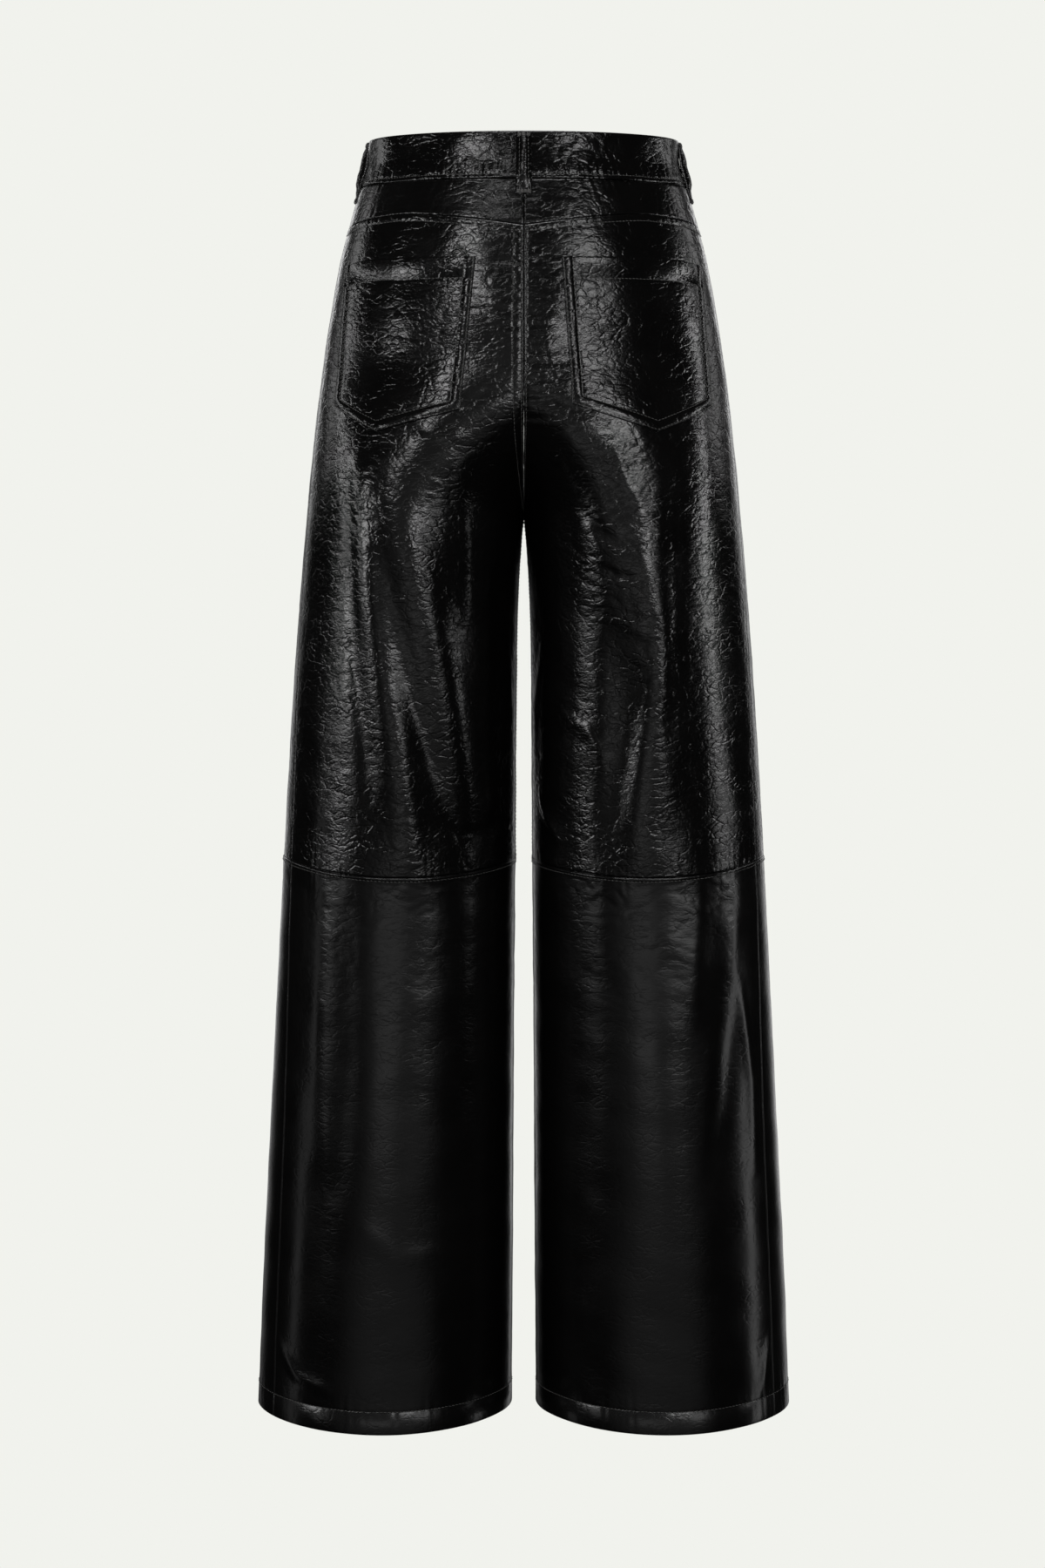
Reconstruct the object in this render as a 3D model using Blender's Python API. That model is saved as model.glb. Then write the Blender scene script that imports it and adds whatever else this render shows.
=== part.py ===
"""Wide-leg leather trousers in their worn shape, as cut and sewn pieces.

Metres, +Z up. The back of the garment faces -Y and the wearer's right is +X. The origin is the
middle of the waist opening, level with the waistband's top edge.
"""
import functools
import math
from collections import namedtuple

import bmesh
import bpy
import numpy as np
from mathutils import Vector

# Walls and seams.
LEATHER = 0.0012
DOUBLE = 0.0024
SEAM = 0.0003

# Heights of the cut, from the waistband's top edge.
WAIST_SEAM = -0.0393
RISE_TOP = -0.175
CROTCH = -0.311
CROTCH_SLOPE = 0.35
KNEE = -0.602
HEM = -1.0735
HEM_TURN = 0.020

# The body of the garment: height, half width, and depths behind and in front of its side line.
SECTIONS = (
    (0.000, 0.1294, 0.0950, 0.0930),
    (-0.020, 0.1308, 0.0985, 0.0945),
    (-0.035, 0.1354, 0.1020, 0.0960),
    (-0.055, 0.1417, 0.1065, 0.0985),
    (-0.100, 0.1538, 0.1150, 0.1025),
    (-0.160, 0.1648, 0.1215, 0.1050),
    (-0.220, 0.1733, 0.1230, 0.1060),
    (-0.310, 0.1828, 0.1185, 0.1055),
    (-0.450, 0.1944, 0.1085, 0.1025),
    (-0.600, 0.2036, 0.1010, 0.0990),
    (-0.800, 0.2145, 0.0985, 0.0970),
    (-1.000, 0.2246, 0.1000, 0.0980),
    (-1.100, 0.2284, 0.1010, 0.0990),
)
# Below the crotch: height, and how far each leg's inner side stands from the middle.
INNER_GAPS = (
    (CROTCH, 0.0000),
    (-0.327, 0.0018),
    (-0.345, 0.0032),
    (-0.379, 0.0052),
    (-0.410, 0.0063),
    (-0.500, 0.0072),
    (-0.620, 0.0078),
    (-0.760, 0.0090),
    (-0.900, 0.0097),
    (-1.100, 0.0114),
)
# The side seam: height, and how far it lies behind the side line, along the cloth.
SIDE_SEAM = (
    (0.000, 0.000),
    (-0.100, 0.010),
    (-0.220, 0.020),
    (-0.450, 0.035),
    (-0.610, 0.0425),
    (-0.850, 0.053),
    (-1.100, 0.056),
)
# The yoke seam: distance from the centre back along the cloth, and height.
YOKE_SEAM = (
    (0.000, -0.0776),
    (0.035, -0.0730),
    (0.070, -0.0690),
    (0.105, -0.0668),
    (0.140, -0.0685),
    (0.205, -0.0757),
)
# How far the knee seam and the hem dip at the middle of the back of each leg.
KNEE_DIP = 0.0100
HEM_DIP = 0.0070

# Patch pockets: distances from the centre back along the cloth, and heights.
POCKET_PLACES = "inner_top inner_low point outer_low outer_top top inner_end point_end outer_end"
Pocket = namedtuple("Pocket", POCKET_PLACES)
POCKETS = {
    -1: Pocket(0.0397, 0.0521, 0.1261, 0.1775, 0.1740, -0.1030, -0.2279, -0.2458, -0.2239),
    1: Pocket(0.0310, 0.0398, 0.1126, 0.1760, 0.1730, -0.1030, -0.2236, -0.2458, -0.2239),
}
POCKET_CORNER_DROP = 0.0040

# Largest folds, as distances behind the side line (negative in front of it) at the fold's top,
# middle and foot.
Fold = namedtuple("Fold", "side top foot at_top at_middle at_foot half_width height")
FOLDS = (
    Fold(-1, -0.235, -0.640, 0.108, 0.143, 0.172, 0.017, 0.0035),
    Fold(-1, -0.262, -0.580, 0.132, 0.190, 0.226, 0.018, 0.0030),
    Fold(-1, -0.280, -0.600, 0.126, 0.166, 0.200, 0.012, -0.0022),
    Fold(-1, -0.330, -0.600, 0.262, 0.268, 0.272, 0.020, -0.0030),
    Fold(1, -0.290, -0.640, 0.160, 0.146, 0.170, 0.020, 0.0042),
    Fold(1, -0.330, -0.620, 0.195, 0.180, 0.200, 0.014, -0.0024),
    Fold(1, -0.340, -0.610, 0.250, 0.278, 0.252, 0.018, -0.0035),
    Fold(-1, -0.660, -1.020, 0.150, 0.158, 0.165, 0.030, 0.0025),
    Fold(1, -0.640, -1.000, 0.165, 0.160, 0.150, 0.030, 0.0028),
    Fold(-1, -0.200, -0.560, -0.150, -0.165, -0.160, 0.020, 0.0035),
    Fold(-1, -0.300, -0.620, -0.215, -0.225, -0.215, 0.016, -0.0028),
    Fold(-1, -0.630, -1.010, -0.160, -0.150, -0.155, 0.028, 0.0028),
    Fold(1, -0.220, -0.600, -0.165, -0.155, -0.165, 0.020, 0.0038),
    Fold(1, -0.320, -0.590, -0.225, -0.220, -0.205, 0.017, -0.0026),
    Fold(1, -0.650, -1.030, -0.150, -0.162, -0.160, 0.030, 0.0026),
)

# Grids: cloth columns between the lines that cross a panel, and rows down it.
POCKET_BLOCKS = (3, 3, 5, 3)
BACK_COLUMNS = sum(POCKET_BLOCKS)
FRONT_COLUMNS = 15
YOKE_ROWS = 2
POCKET_ROWS = 7
UNIFORM_FROM = -0.400
SEAT_STEPS = (0.35, 0.65, 0.84, 0.95)
THIGH_STEPS = (0.0, 0.02, 0.06, 0.12, 0.20, 0.28, 0.36, 0.44, 0.52, 0.60, 0.68, 0.76, 0.84, 0.92)
RISE_STEPS = (0.0, 0.11, 0.22, 0.33, 0.44, 0.55, 0.66, 0.77, 0.87, 0.94, 0.98)
LOWER_ROWS = 16

# Waistband: lap past the centre front, underlap, and where its two ends have parted.
LAP = 0.010
UNDERLAP = 0.030
LAP_EASE = 0.014
BAND_COLUMN = 0.021
BAND_ROWS = 3

# Belt loops: place from the centre back or front along the cloth, profile and width.
LOOP_WIDTH = 0.0134
LOOP_LEATHER = 0.0020
FRONT_LOOP_AT = 0.0520
# Height, and how far the loop's middle stands off the cloth's middle.
LOOP_PROFILE = (
    (-0.0015, 0.0025),
    (-0.0060, 0.0038),
    (-0.0120, 0.0073),
    (-0.0200, 0.0090),
    (-0.0290, 0.0088),
    (-0.0370, 0.0072),
    (-0.0440, 0.0040),
    (-0.0480, 0.0026),
    (-0.0525, 0.0024),
)

# Fly, behind the centre front: its clearance from the front, half widths, depths and thicknesses.
FLY_CLEARANCE = 0.0008
FACING_WIDTH = 0.036
FACING_LENGTH = 0.165
SHIELD_WIDTH = 0.040
SHIELD_PAST = 0.006
TAPE_HALF = 0.013
TAPE_FOOT = 0.150
TAPE_TOP = -0.0560
TAPE = 0.0010
SLIDER_HALF = 0.0045
SLIDER_TOP = -0.0450
SLIDER = 0.0026
BUTTON_RADIUS = 0.0085
BUTTON_HEIGHT = 0.0036
BUTTON_AT = -0.0185
# Shares of the radius and of the height, from the seat round the rim to the middle of the face.
BUTTON_PROFILE = ((0.0, 0.0), (0.55, 0.0), (0.55, 0.28), (0.94, 0.36), (1.0, 0.60), (0.92, 0.88), (0.70, 1.0),
                  (0.0, 0.90))
BUTTON_SIDES = 20

Section = namedtuple("Section", "centre radius gap end back front")


def read(table, column, at):
    """Read a table's column at any first-column value, on a smooth curve through its rows."""
    keys = [row[0] for row in table]
    values = [row[column] for row in table]
    if keys[0] > keys[-1]:
        keys.reverse()
        values.reverse()
    at = min(max(at, keys[0]), keys[-1])
    spans = np.diff(keys)
    rises = np.diff(values) / spans
    slopes = [rises[0]]
    for left, right, before, after in zip(rises, rises[1:], spans, spans[1:]):
        slope = 0.0
        if left * right > 0:
            slope = 3 * (before + after) / ((2 * after + before) / left + (after + 2 * before) / right)
        slopes.append(slope)
    slopes.append(rises[-1])
    k = min(int(np.searchsorted(keys, at, side="right")) - 1, len(spans) - 1)
    t = (at - keys[k]) / spans[k]
    start = (1 + 2 * t) * (1 - t) ** 2 * values[k] + t * (1 - t) ** 2 * spans[k] * slopes[k]
    finish = t * t * (3 - 2 * t) * values[k + 1] + t * t * (t - 1) * spans[k] * slopes[k + 1]
    return float(start + finish)


def ease(t):
    """Smooth step from 0 to 1."""
    t = min(max(t, 0.0), 1.0)
    return t * t * (3 - 2 * t)


@functools.lru_cache(maxsize=None)
def section(z):
    """Half of the garment's section: half an ellipse at the waist, a leg's whole one below the crotch."""
    down = min(max((RISE_TOP - z) / (RISE_TOP - CROTCH), 0.0), 1.0)
    turn = (3 - CROTCH_SLOPE) * down ** 2 + (CROTCH_SLOPE - 2) * down ** 3
    gap = read(INNER_GAPS, 1, z) if z < CROTCH else 0.0
    half = read(SECTIONS, 1, z)
    radius = (half - gap) / (1 + turn)
    return Section(half - radius, radius, gap, math.acos(-turn), read(SECTIONS, 2, z), read(SECTIONS, 3, z))


@functools.lru_cache(maxsize=None)
def arc(z, behind):
    """Angles round the section from its side line, with the length of cloth up to each."""
    cut = section(z)
    angles = np.linspace(0.0, cut.end, 121)
    across = cut.radius * np.cos(angles)
    deep = (cut.back if behind else cut.front) * np.sin(angles)
    lengths = np.concatenate(([0.0], np.cumsum(np.hypot(np.diff(across), np.diff(deep)))))
    return angles, lengths


def reach(z, behind):
    """Length of cloth from the side line to the centre or the inseam."""
    return float(arc(z, behind)[1][-1])


def fold_height(side, u, z):
    """How far the folds lift the cloth at a place."""
    height = 0.0
    for fold in FOLDS:
        down = (fold.top - z) / (fold.top - fold.foot)
        if fold.side != side or not 0.0 < down < 1.0:
            continue
        bow = fold.at_middle - (fold.at_top + fold.at_foot) / 2
        centre = fold.at_top + (fold.at_foot - fold.at_top) * down + 4 * bow * down * (1 - down)
        height += fold.height * math.sin(math.pi * down) * math.exp(-((u - centre) / fold.half_width) ** 2)
    return height


def cloth(side, u, z, out, clear=SEAM / 2):
    """A point of the cloth: u along it from the side line, positive behind, and out from its middle."""
    cut = section(z)
    behind = u >= 0
    depth = -cut.back if behind else cut.front
    angle = float(np.interp(abs(u), arc(z, behind)[1], arc(z, behind)[0]))
    x = cut.centre + cut.radius * math.cos(angle)
    y = depth * math.sin(angle)
    across = Vector((math.cos(angle) / cut.radius, math.sin(angle) / depth, 0.0)).normalized()
    step = 0.004
    above = section(z + step)
    below = section(z - step)
    lean_x = (above.centre - below.centre + (above.radius - below.radius) * math.cos(angle)) / (2 * step)
    rim = (below.back - above.back) if behind else (above.front - below.front)
    lean_y = rim * math.sin(angle) / (2 * step)
    outward = Vector((across.x, across.y, -(across.x * lean_x + across.y * lean_y))).normalized()
    place = Vector((x, y, z)) + outward * (out + fold_height(side, u, z))
    return Vector((side * max(place.x, clear), place.y, place.z))


def material(name, colour, roughness, metallic=0.0):
    """A plain finish."""
    finish = bpy.data.materials.new(name)
    finish.use_nodes = True
    shader = finish.node_tree.nodes["Principled BSDF"]
    shader.inputs["Base Color"].default_value = (*colour, 1.0)
    shader.inputs["Roughness"].default_value = roughness
    shader.inputs["Metallic"].default_value = metallic
    return finish


def place(name, mesh_edit, finish, smooth=True):
    """Turn a bmesh into a named object with its own finish."""
    bmesh.ops.recalc_face_normals(mesh_edit, faces=mesh_edit.faces)
    mesh = bpy.data.meshes.new(name)
    mesh_edit.to_mesh(mesh)
    mesh_edit.free()
    mesh.materials.append(finish)
    piece = bpy.data.objects.new(name, mesh)
    bpy.context.collection.objects.link(piece)
    if smooth:
        mesh.shade_smooth()
        mesh.set_sharp_from_angle(angle=math.radians(40))
    return piece


def shell(name, outer, inner, finish):
    """Close a grid of outer points and the same grid of inner points into one wall."""
    mesh_edit = bmesh.new()
    faces = [[[mesh_edit.verts.new(point) for point in row] for row in grid] for grid in (outer, inner)]
    rows = len(outer)
    columns = len(outer[0])
    for grid, turned in zip(faces, (False, True)):
        for i in range(rows - 1):
            for j in range(columns - 1):
                quad = [grid[i][j], grid[i + 1][j], grid[i + 1][j + 1], grid[i][j + 1]]
                if turned:
                    quad = [quad[0], quad[3], quad[2], quad[1]]
                mesh_edit.faces.new(quad)
    front, back = faces
    rim = [(0, j) for j in range(columns)]
    rim += [(i, columns - 1) for i in range(1, rows)]
    rim += [(rows - 1, j) for j in range(columns - 2, -1, -1)]
    rim += [(i, 0) for i in range(rows - 2, 0, -1)]
    for (i, j), (k, m) in zip(rim, rim[1:] + rim[:1]):
        mesh_edit.faces.new((front[i][j], front[k][m], back[k][m], back[i][j]))
    return place(name, mesh_edit, finish)


def panel(name, side, layout, outside, inside, finish):
    """A wall over a grid of (u, z) places; inside and outside may change from row to row."""
    outsides = outside if isinstance(outside, list) else [outside] * len(layout)
    insides = inside if isinstance(inside, list) else [inside] * len(layout)
    outer = [[cloth(side, u, z, out) for u, z in row] for row, out in zip(layout, outsides)]
    inner = [[cloth(side, u, z, out) for u, z in row] for row, out in zip(layout, insides)]
    return shell(name, outer, inner, finish)


def between(start, end, t):
    """A value part of the way from start to end."""
    return start + (end - start) * t


def spread(marks, blocks):
    """Cut the spans between marks into equal columns."""
    places = [marks[0]]
    for start, end, count in zip(marks, marks[1:], blocks):
        places += [between(start, end, k / count) for k in range(1, count + 1)]
    return places


def back_columns(side, z):
    """Column places across the back at a height: through the pocket's edges, then evenly down the leg."""
    pocket = POCKETS[side]
    end = reach(z, True)
    first = read(SIDE_SEAM, 1, z) + SEAM / 2
    last = end - SEAM / 2
    even = spread((first, last), (BACK_COLUMNS,))
    inner_down = min(max((pocket.top - z) / (pocket.top - pocket.inner_end), 0), 1)
    outer_down = min(max((pocket.top - z) / (pocket.top - pocket.outer_end), 0), 1)
    inner = between(pocket.inner_top, pocket.inner_low, inner_down)
    outer = between(pocket.outer_top, pocket.outer_low, outer_down)
    if z >= pocket.point_end:
        marks = (first, end - outer, end - pocket.point, end - inner, last)
        return spread(marks, POCKET_BLOCKS)
    low = reach(pocket.point_end, True)
    low_first = read(SIDE_SEAM, 1, pocket.point_end) + SEAM / 2
    marks = (low_first, low - outer, low - pocket.point, low - inner, low - SEAM / 2)
    shares = [(place - marks[0]) / (marks[-1] - marks[0]) for place in spread(marks, POCKET_BLOCKS)]
    relax = ease((pocket.point_end - z) / (pocket.point_end - UNIFORM_FROM))
    return [between(between(first, last, share), flat, relax) for share, flat in zip(shares, even)]


def front_columns(z):
    """Column places across the front at a height, from the centre front round to the side seam."""
    first = -reach(z, False) + SEAM / 2
    last = read(SIDE_SEAM, 1, z) - SEAM / 2
    return spread((first, last), (FRONT_COLUMNS,))


def knee_height(u):
    """Height of the knee seam, which dips behind the leg."""
    share = max(u, 0.0) / reach(KNEE, True)
    return KNEE - KNEE_DIP * math.sin(math.pi * share) ** 2 - 0.0025 * share


def hem_height(u):
    """Height of the hem, which dips behind the leg."""
    share = max(u, 0.0) / reach(HEM, True)
    return HEM - HEM_DIP * math.sin(math.pi * share) ** 2


def yoke_height(u):
    """Height of the yoke seam."""
    return read(YOKE_SEAM, 1, reach(-0.072, True) - u)


def back_lines(side):
    """Heights of the back's rows in each column, from the yoke seam to the knee seam."""
    pocket = POCKETS[side]
    inner = sum(POCKET_BLOCKS[:3])
    outer = POCKET_BLOCKS[0]
    point = sum(POCKET_BLOCKS[:2])
    lines = []
    for j in range(BACK_COLUMNS + 1):
        top = yoke_height(back_columns(side, -0.072)[j]) - SEAM / 2
        drop = POCKET_CORNER_DROP * (1 - min(max((j - outer) / (point - outer), 0), 1)) ** 2
        mouth = pocket.top - drop
        corners = ((0, pocket.outer_end), (outer, pocket.outer_end), (point, pocket.point_end))
        corners += ((inner, pocket.inner_end), (BACK_COLUMNS, pocket.inner_end))
        base = float(np.interp(j, [c[0] for c in corners], [c[1] for c in corners]))
        knee = knee_height(back_columns(side, KNEE)[j]) + SEAM / 2
        column = [top, (top + mouth) / 2]
        column += [between(mouth, base, k / POCKET_ROWS) for k in range(POCKET_ROWS + 1)]
        column += [between(base, CROTCH, step) for step in SEAT_STEPS]
        column += [between(CROTCH, knee, step) for step in THIGH_STEPS] + [knee]
        lines.append(column)
    return lines


def make_back_upper(side, name, finish):
    """Back of the leg from the yoke seam to the knee seam; returns its grid for the pocket."""
    lines = back_lines(side)
    layout = [[(back_columns(side, column[i])[j], column[i]) for j, column in enumerate(lines)]
              for i in range(len(lines[0]))]
    panel(name, side, layout, LEATHER / 2, -LEATHER / 2, finish)
    return layout


def make_pocket(side, name, layout, finish):
    """Patch pocket, on the back panel's own points."""
    first = POCKET_BLOCKS[0]
    last = sum(POCKET_BLOCKS[:3])
    patch = [row[first:last + 1] for row in layout[2:POCKET_ROWS + 3]]
    inside = LEATHER / 2 + SEAM
    panel(name, side, patch, inside + LEATHER, inside, finish)


def make_yoke(side, name, finish):
    """Back yoke, from the waist seam to the yoke seam."""
    layout = []
    for i in range(YOKE_ROWS + 1):
        row = []
        for j in range(BACK_COLUMNS + 1):
            foot = yoke_height(back_columns(side, -0.072)[j]) + SEAM / 2
            z = between(WAIST_SEAM - SEAM / 2, foot, i / YOKE_ROWS)
            row.append((back_columns(side, z)[j], z))
        layout.append(row)
    panel(name, side, layout, LEATHER / 2, -LEATHER / 2, finish)


def make_front_upper(side, name, finish):
    """Front of the leg, from the waist seam to the knee seam."""
    top = WAIST_SEAM - SEAM / 2
    layout = []
    for step in RISE_STEPS:
        z = between(top, CROTCH, step)
        layout.append([(u, z) for u in front_columns(z)])
    for step in THIGH_STEPS + (1.0,):
        row = []
        for j, u in enumerate(front_columns(KNEE)):
            z = between(CROTCH, knee_height(u) + SEAM / 2, step)
            row.append((front_columns(z)[j], z))
        layout.append(row)
    panel(name, side, layout, LEATHER / 2, -LEATHER / 2, finish)


def make_lower(side, name, columns_at, finish):
    """Lower leg, from the knee seam to the hem, with the hem turned up inside."""
    turn_line = 0.003
    layout = []
    insides = []
    for i in range(LOWER_ROWS + 3):
        row = []
        for j, u in enumerate(columns_at(KNEE)):
            knee = knee_height(u) - SEAM / 2
            hem = hem_height(columns_at(HEM)[j])
            turn = hem + HEM_TURN
            z = between(knee, turn + turn_line, i / LOWER_ROWS) if i <= LOWER_ROWS else turn
            z = hem if i == LOWER_ROWS + 2 else z
            row.append((columns_at(z)[j], z))
        layout.append(row)
        insides.append(-LEATHER / 2 if i <= LOWER_ROWS else LEATHER / 2 - DOUBLE)
    panel(name, side, layout, LEATHER / 2, insides, finish)


def loop_ways():
    """Each belt loop's name and its place round the waistband, from the centre front by the right side."""
    front = reach(WAIST_SEAM, False)
    back = reach(WAIST_SEAM, True)
    return {
        "belt_loop_front_right": FRONT_LOOP_AT,
        "belt_loop_right": front,
        "belt_loop_back": front + back,
        "belt_loop_left": front + 2 * back,
        "belt_loop_front_left": 2 * (front + back) - FRONT_LOOP_AT,
    }


def turned(side, u, z, out):
    """A point of the cloth that may run on past the centre back or front to the other side."""
    behind = u > 0
    end = reach(z, behind)
    if abs(u) > end:
        over = math.copysign(2 * end - abs(u), u)
        return cloth(-side, over, z, out, clear=-1.0)
    return cloth(side, u, z, out, clear=-1.0)


def band_stations():
    """Places round the waistband from its outer end at the front to its under end, with loop edges."""
    whole = 2 * (reach(WAIST_SEAM, False) + reach(WAIST_SEAM, True))
    half = LOOP_WIDTH / 2
    marks = [-LAP, 0.0, UNDERLAP]
    for way in loop_ways().values():
        marks += [way - half, way + half]
    marks += [whole - UNDERLAP, whole, whole + UNDERLAP]
    marks.sort()
    counts = [max(1, math.ceil((end - start) / BAND_COLUMN)) for start, end in zip(marks, marks[1:])]
    return spread(marks, counts), whole


def band_spot(way, whole, z, out):
    """A point of the waistband, way along it from the centre front by the wearer's right side."""
    front = reach(z, False)
    back = reach(z, True)
    way = way * 2 * (front + back) / whole
    if way <= front + back:
        return turned(1, way - front, z, out)
    return turned(-1, front + 2 * back - way, z, out)


def lap_shift(way, whole):
    """How far the band's ends part where they lap: outwards at the first end, inwards at the other."""
    apart = (DOUBLE + SEAM) / 2
    outer = 1 - ease((way - UNDERLAP) / LAP_EASE)
    under = ease((way - (whole - LAP - LAP_EASE)) / LAP_EASE)
    return apart * (outer - under)


def make_waistband(finish):
    """One band round the waist, its ends lapped at the centre front."""
    stations, whole = band_stations()
    heights = [between(0.0, WAIST_SEAM + SEAM / 2, i / BAND_ROWS) for i in range(BAND_ROWS + 1)]
    walls = []
    for out in (DOUBLE / 2, -DOUBLE / 2):
        shifts = [(way, out + lap_shift(way, whole)) for way in stations]
        walls.append([[band_spot(way, whole, z, shift) for way, shift in shifts] for z in heights])
    shell("waistband", *walls, finish)


def make_loop(name, way, finish):
    """A belt loop: a strip sewn at both ends, standing off the waistband between them."""
    whole = 2 * (reach(WAIST_SEAM, False) + reach(WAIST_SEAM, True))
    walls = []
    for out in (LOOP_LEATHER / 2, -LOOP_LEATHER / 2):
        wall = []
        for z, stand in LOOP_PROFILE:
            edges = (way - LOOP_WIDTH / 2, way + LOOP_WIDTH / 2)
            wall.append([band_spot(edge, whole, z, stand + out) for edge in edges])
        walls.append(wall)
    shell(name, *walls, finish)


def fly_patch(name, left, right, top, foot, outside, thick, finish, rounded=0.0):
    """A strip behind the centre front, from left to right of it; rounded narrows its foot."""
    rows = 6
    columns = 4
    walls = []
    for out in (outside, outside - thick):
        wall = []
        for i in range(rows + 1):
            z = between(top, foot, i / rows)
            narrow = rounded * ease((i / rows - 0.6) / 0.4)
            end = between(left, right, 1 - narrow)
            places = [between(left, end, j / columns) for j in range(columns + 1)]
            wall.append([turned(1, place - reach(z, False), z, out) for place in places])
        walls.append(wall)
    return shell(name, *walls, finish)


def make_fly(leather, tape, metal):
    """Facing behind the right front, closed zip behind it, and the shield behind the zip."""
    top = WAIST_SEAM - SEAM
    facing_out = -LEATHER / 2 - FLY_CLEARANCE
    tape_out = facing_out - LEATHER - SEAM
    shield_out = tape_out - SLIDER - SEAM
    foot = top - FACING_LENGTH
    fly_patch("fly_facing", 0.0005, FACING_WIDTH, top, foot, facing_out, LEATHER, leather, 0.7)
    fly_patch("zip_tape", -TAPE_HALF, TAPE_HALF, TAPE_TOP, top - TAPE_FOOT, tape_out, TAPE, tape)
    fly_patch("zip_slider", -SLIDER_HALF, SLIDER_HALF, SLIDER_TOP, TAPE_TOP + SEAM, tape_out, SLIDER, metal)
    fly_patch("fly_shield", -SHIELD_PAST, SHIELD_WIDTH, top, foot, shield_out, DOUBLE, leather, 0.5)


def make_button(finish):
    """Round waist button on the band's outer end, turned about its own axis."""
    seat = DOUBLE / 2 + (DOUBLE + SEAM) / 2 + SEAM
    root = turned(1, -reach(BUTTON_AT, False), BUTTON_AT, seat)
    tip = turned(1, -reach(BUTTON_AT, False), BUTTON_AT, seat + BUTTON_HEIGHT)
    axis = (tip - root).normalized()
    upright = Vector((0.0, 0.0, 1.0))
    across = axis.cross(upright).normalized()
    mesh_edit = bmesh.new()
    line = []
    for share, height in BUTTON_PROFILE:
        line.append(mesh_edit.verts.new(root + across * BUTTON_RADIUS * share + axis * BUTTON_HEIGHT * height))
    for start, end in zip(line, line[1:]):
        mesh_edit.edges.new((start, end))
    bmesh.ops.spin(mesh_edit, geom=mesh_edit.edges[:] + mesh_edit.verts[:], cent=root, axis=axis,
                   angle=2 * math.pi, steps=BUTTON_SIDES, use_merge=True)
    bmesh.ops.remove_doubles(mesh_edit, verts=mesh_edit.verts, dist=0.00001)
    place("waist_button", mesh_edit, finish)


def build():
    """Clear the scene and make every piece."""
    for old in list(bpy.data.objects):
        bpy.data.objects.remove(old, do_unlink=True)
    leather = (0.012, 0.012, 0.013)
    for side, word in ((-1, "left"), (1, "right")):
        make_yoke(side, "back_yoke_" + word, material("yoke_" + word, leather, 0.32))
        layout = make_back_upper(side, "back_upper_" + word, material("back_upper_" + word, leather, 0.32))
        make_pocket(side, "back_pocket_" + word, layout, material("pocket_" + word, leather, 0.30))
        make_lower(side, "back_lower_" + word, functools.partial(back_columns, side),
                   material("back_lower_" + word, leather, 0.34))
        make_front_upper(side, "front_upper_" + word, material("front_upper_" + word, leather, 0.32))
        make_lower(side, "front_lower_" + word, front_columns,
                   material("front_lower_" + word, leather, 0.34))
    make_waistband(material("waistband", leather, 0.30))
    for name, way in loop_ways().items():
        make_loop(name, way, material(name, leather, 0.30))
    make_fly(material("fly", leather, 0.36), material("tape", (0.010, 0.010, 0.011), 0.80),
             material("zip_metal", (0.30, 0.30, 0.31), 0.30, 1.0))
    make_button(material("button", (0.30, 0.30, 0.31), 0.25, 1.0))


build()
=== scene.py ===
"""Looks of the wide-leg leather trousers: crinkled panels, sewing, zip, button and studio.

Metres, +Z up. The back of the garment faces -Y and the wearer's right is +X.
"""

import math
from collections import namedtuple

import bpy
import numpy as np
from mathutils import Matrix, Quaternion, Vector


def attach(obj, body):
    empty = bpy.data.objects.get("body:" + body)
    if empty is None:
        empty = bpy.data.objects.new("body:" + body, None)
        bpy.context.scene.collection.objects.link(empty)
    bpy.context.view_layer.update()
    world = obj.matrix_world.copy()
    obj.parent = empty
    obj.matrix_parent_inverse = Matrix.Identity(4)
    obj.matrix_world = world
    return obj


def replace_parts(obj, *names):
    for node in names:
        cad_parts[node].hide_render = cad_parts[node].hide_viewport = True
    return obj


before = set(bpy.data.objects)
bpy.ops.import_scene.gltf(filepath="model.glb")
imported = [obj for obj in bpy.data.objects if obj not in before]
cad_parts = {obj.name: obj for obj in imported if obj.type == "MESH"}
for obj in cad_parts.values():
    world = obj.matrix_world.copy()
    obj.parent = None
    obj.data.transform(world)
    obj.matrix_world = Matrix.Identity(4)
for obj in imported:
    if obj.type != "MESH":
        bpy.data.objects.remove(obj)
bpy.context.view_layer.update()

# -------- the cloth's own sizes
LEATHER = 0.0012
DOUBLE = 0.0024
SEAM = 0.0003
SEAM_SLIT = 0.00003
WAIST_SEAM = -0.0393
RISE_TOP = -0.175
CROTCH = -0.311
CROTCH_SLOPE = 0.35
KNEE = -0.602
HEM = -1.0735
HEM_TURN = 0.020
KNEE_DIP = 0.0100
KNEE_INSEAM_DROP = 0.0025
HEM_DIP = 0.0070

# Height, half width, and depths behind and in front of the side line.
SECTIONS = (
    (0.000, 0.1294, 0.0950, 0.0930),
    (-0.020, 0.1308, 0.0985, 0.0945),
    (-0.035, 0.1354, 0.1020, 0.0960),
    (-0.055, 0.1417, 0.1065, 0.0985),
    (-0.100, 0.1538, 0.1150, 0.1025),
    (-0.160, 0.1648, 0.1215, 0.1050),
    (-0.220, 0.1733, 0.1230, 0.1060),
    (-0.310, 0.1828, 0.1185, 0.1055),
    (-0.450, 0.1944, 0.1085, 0.1025),
    (-0.600, 0.2036, 0.1010, 0.0990),
    (-0.800, 0.2145, 0.0985, 0.0970),
    (-1.000, 0.2246, 0.1000, 0.0980),
    (-1.100, 0.2284, 0.1010, 0.0990),
)
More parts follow.
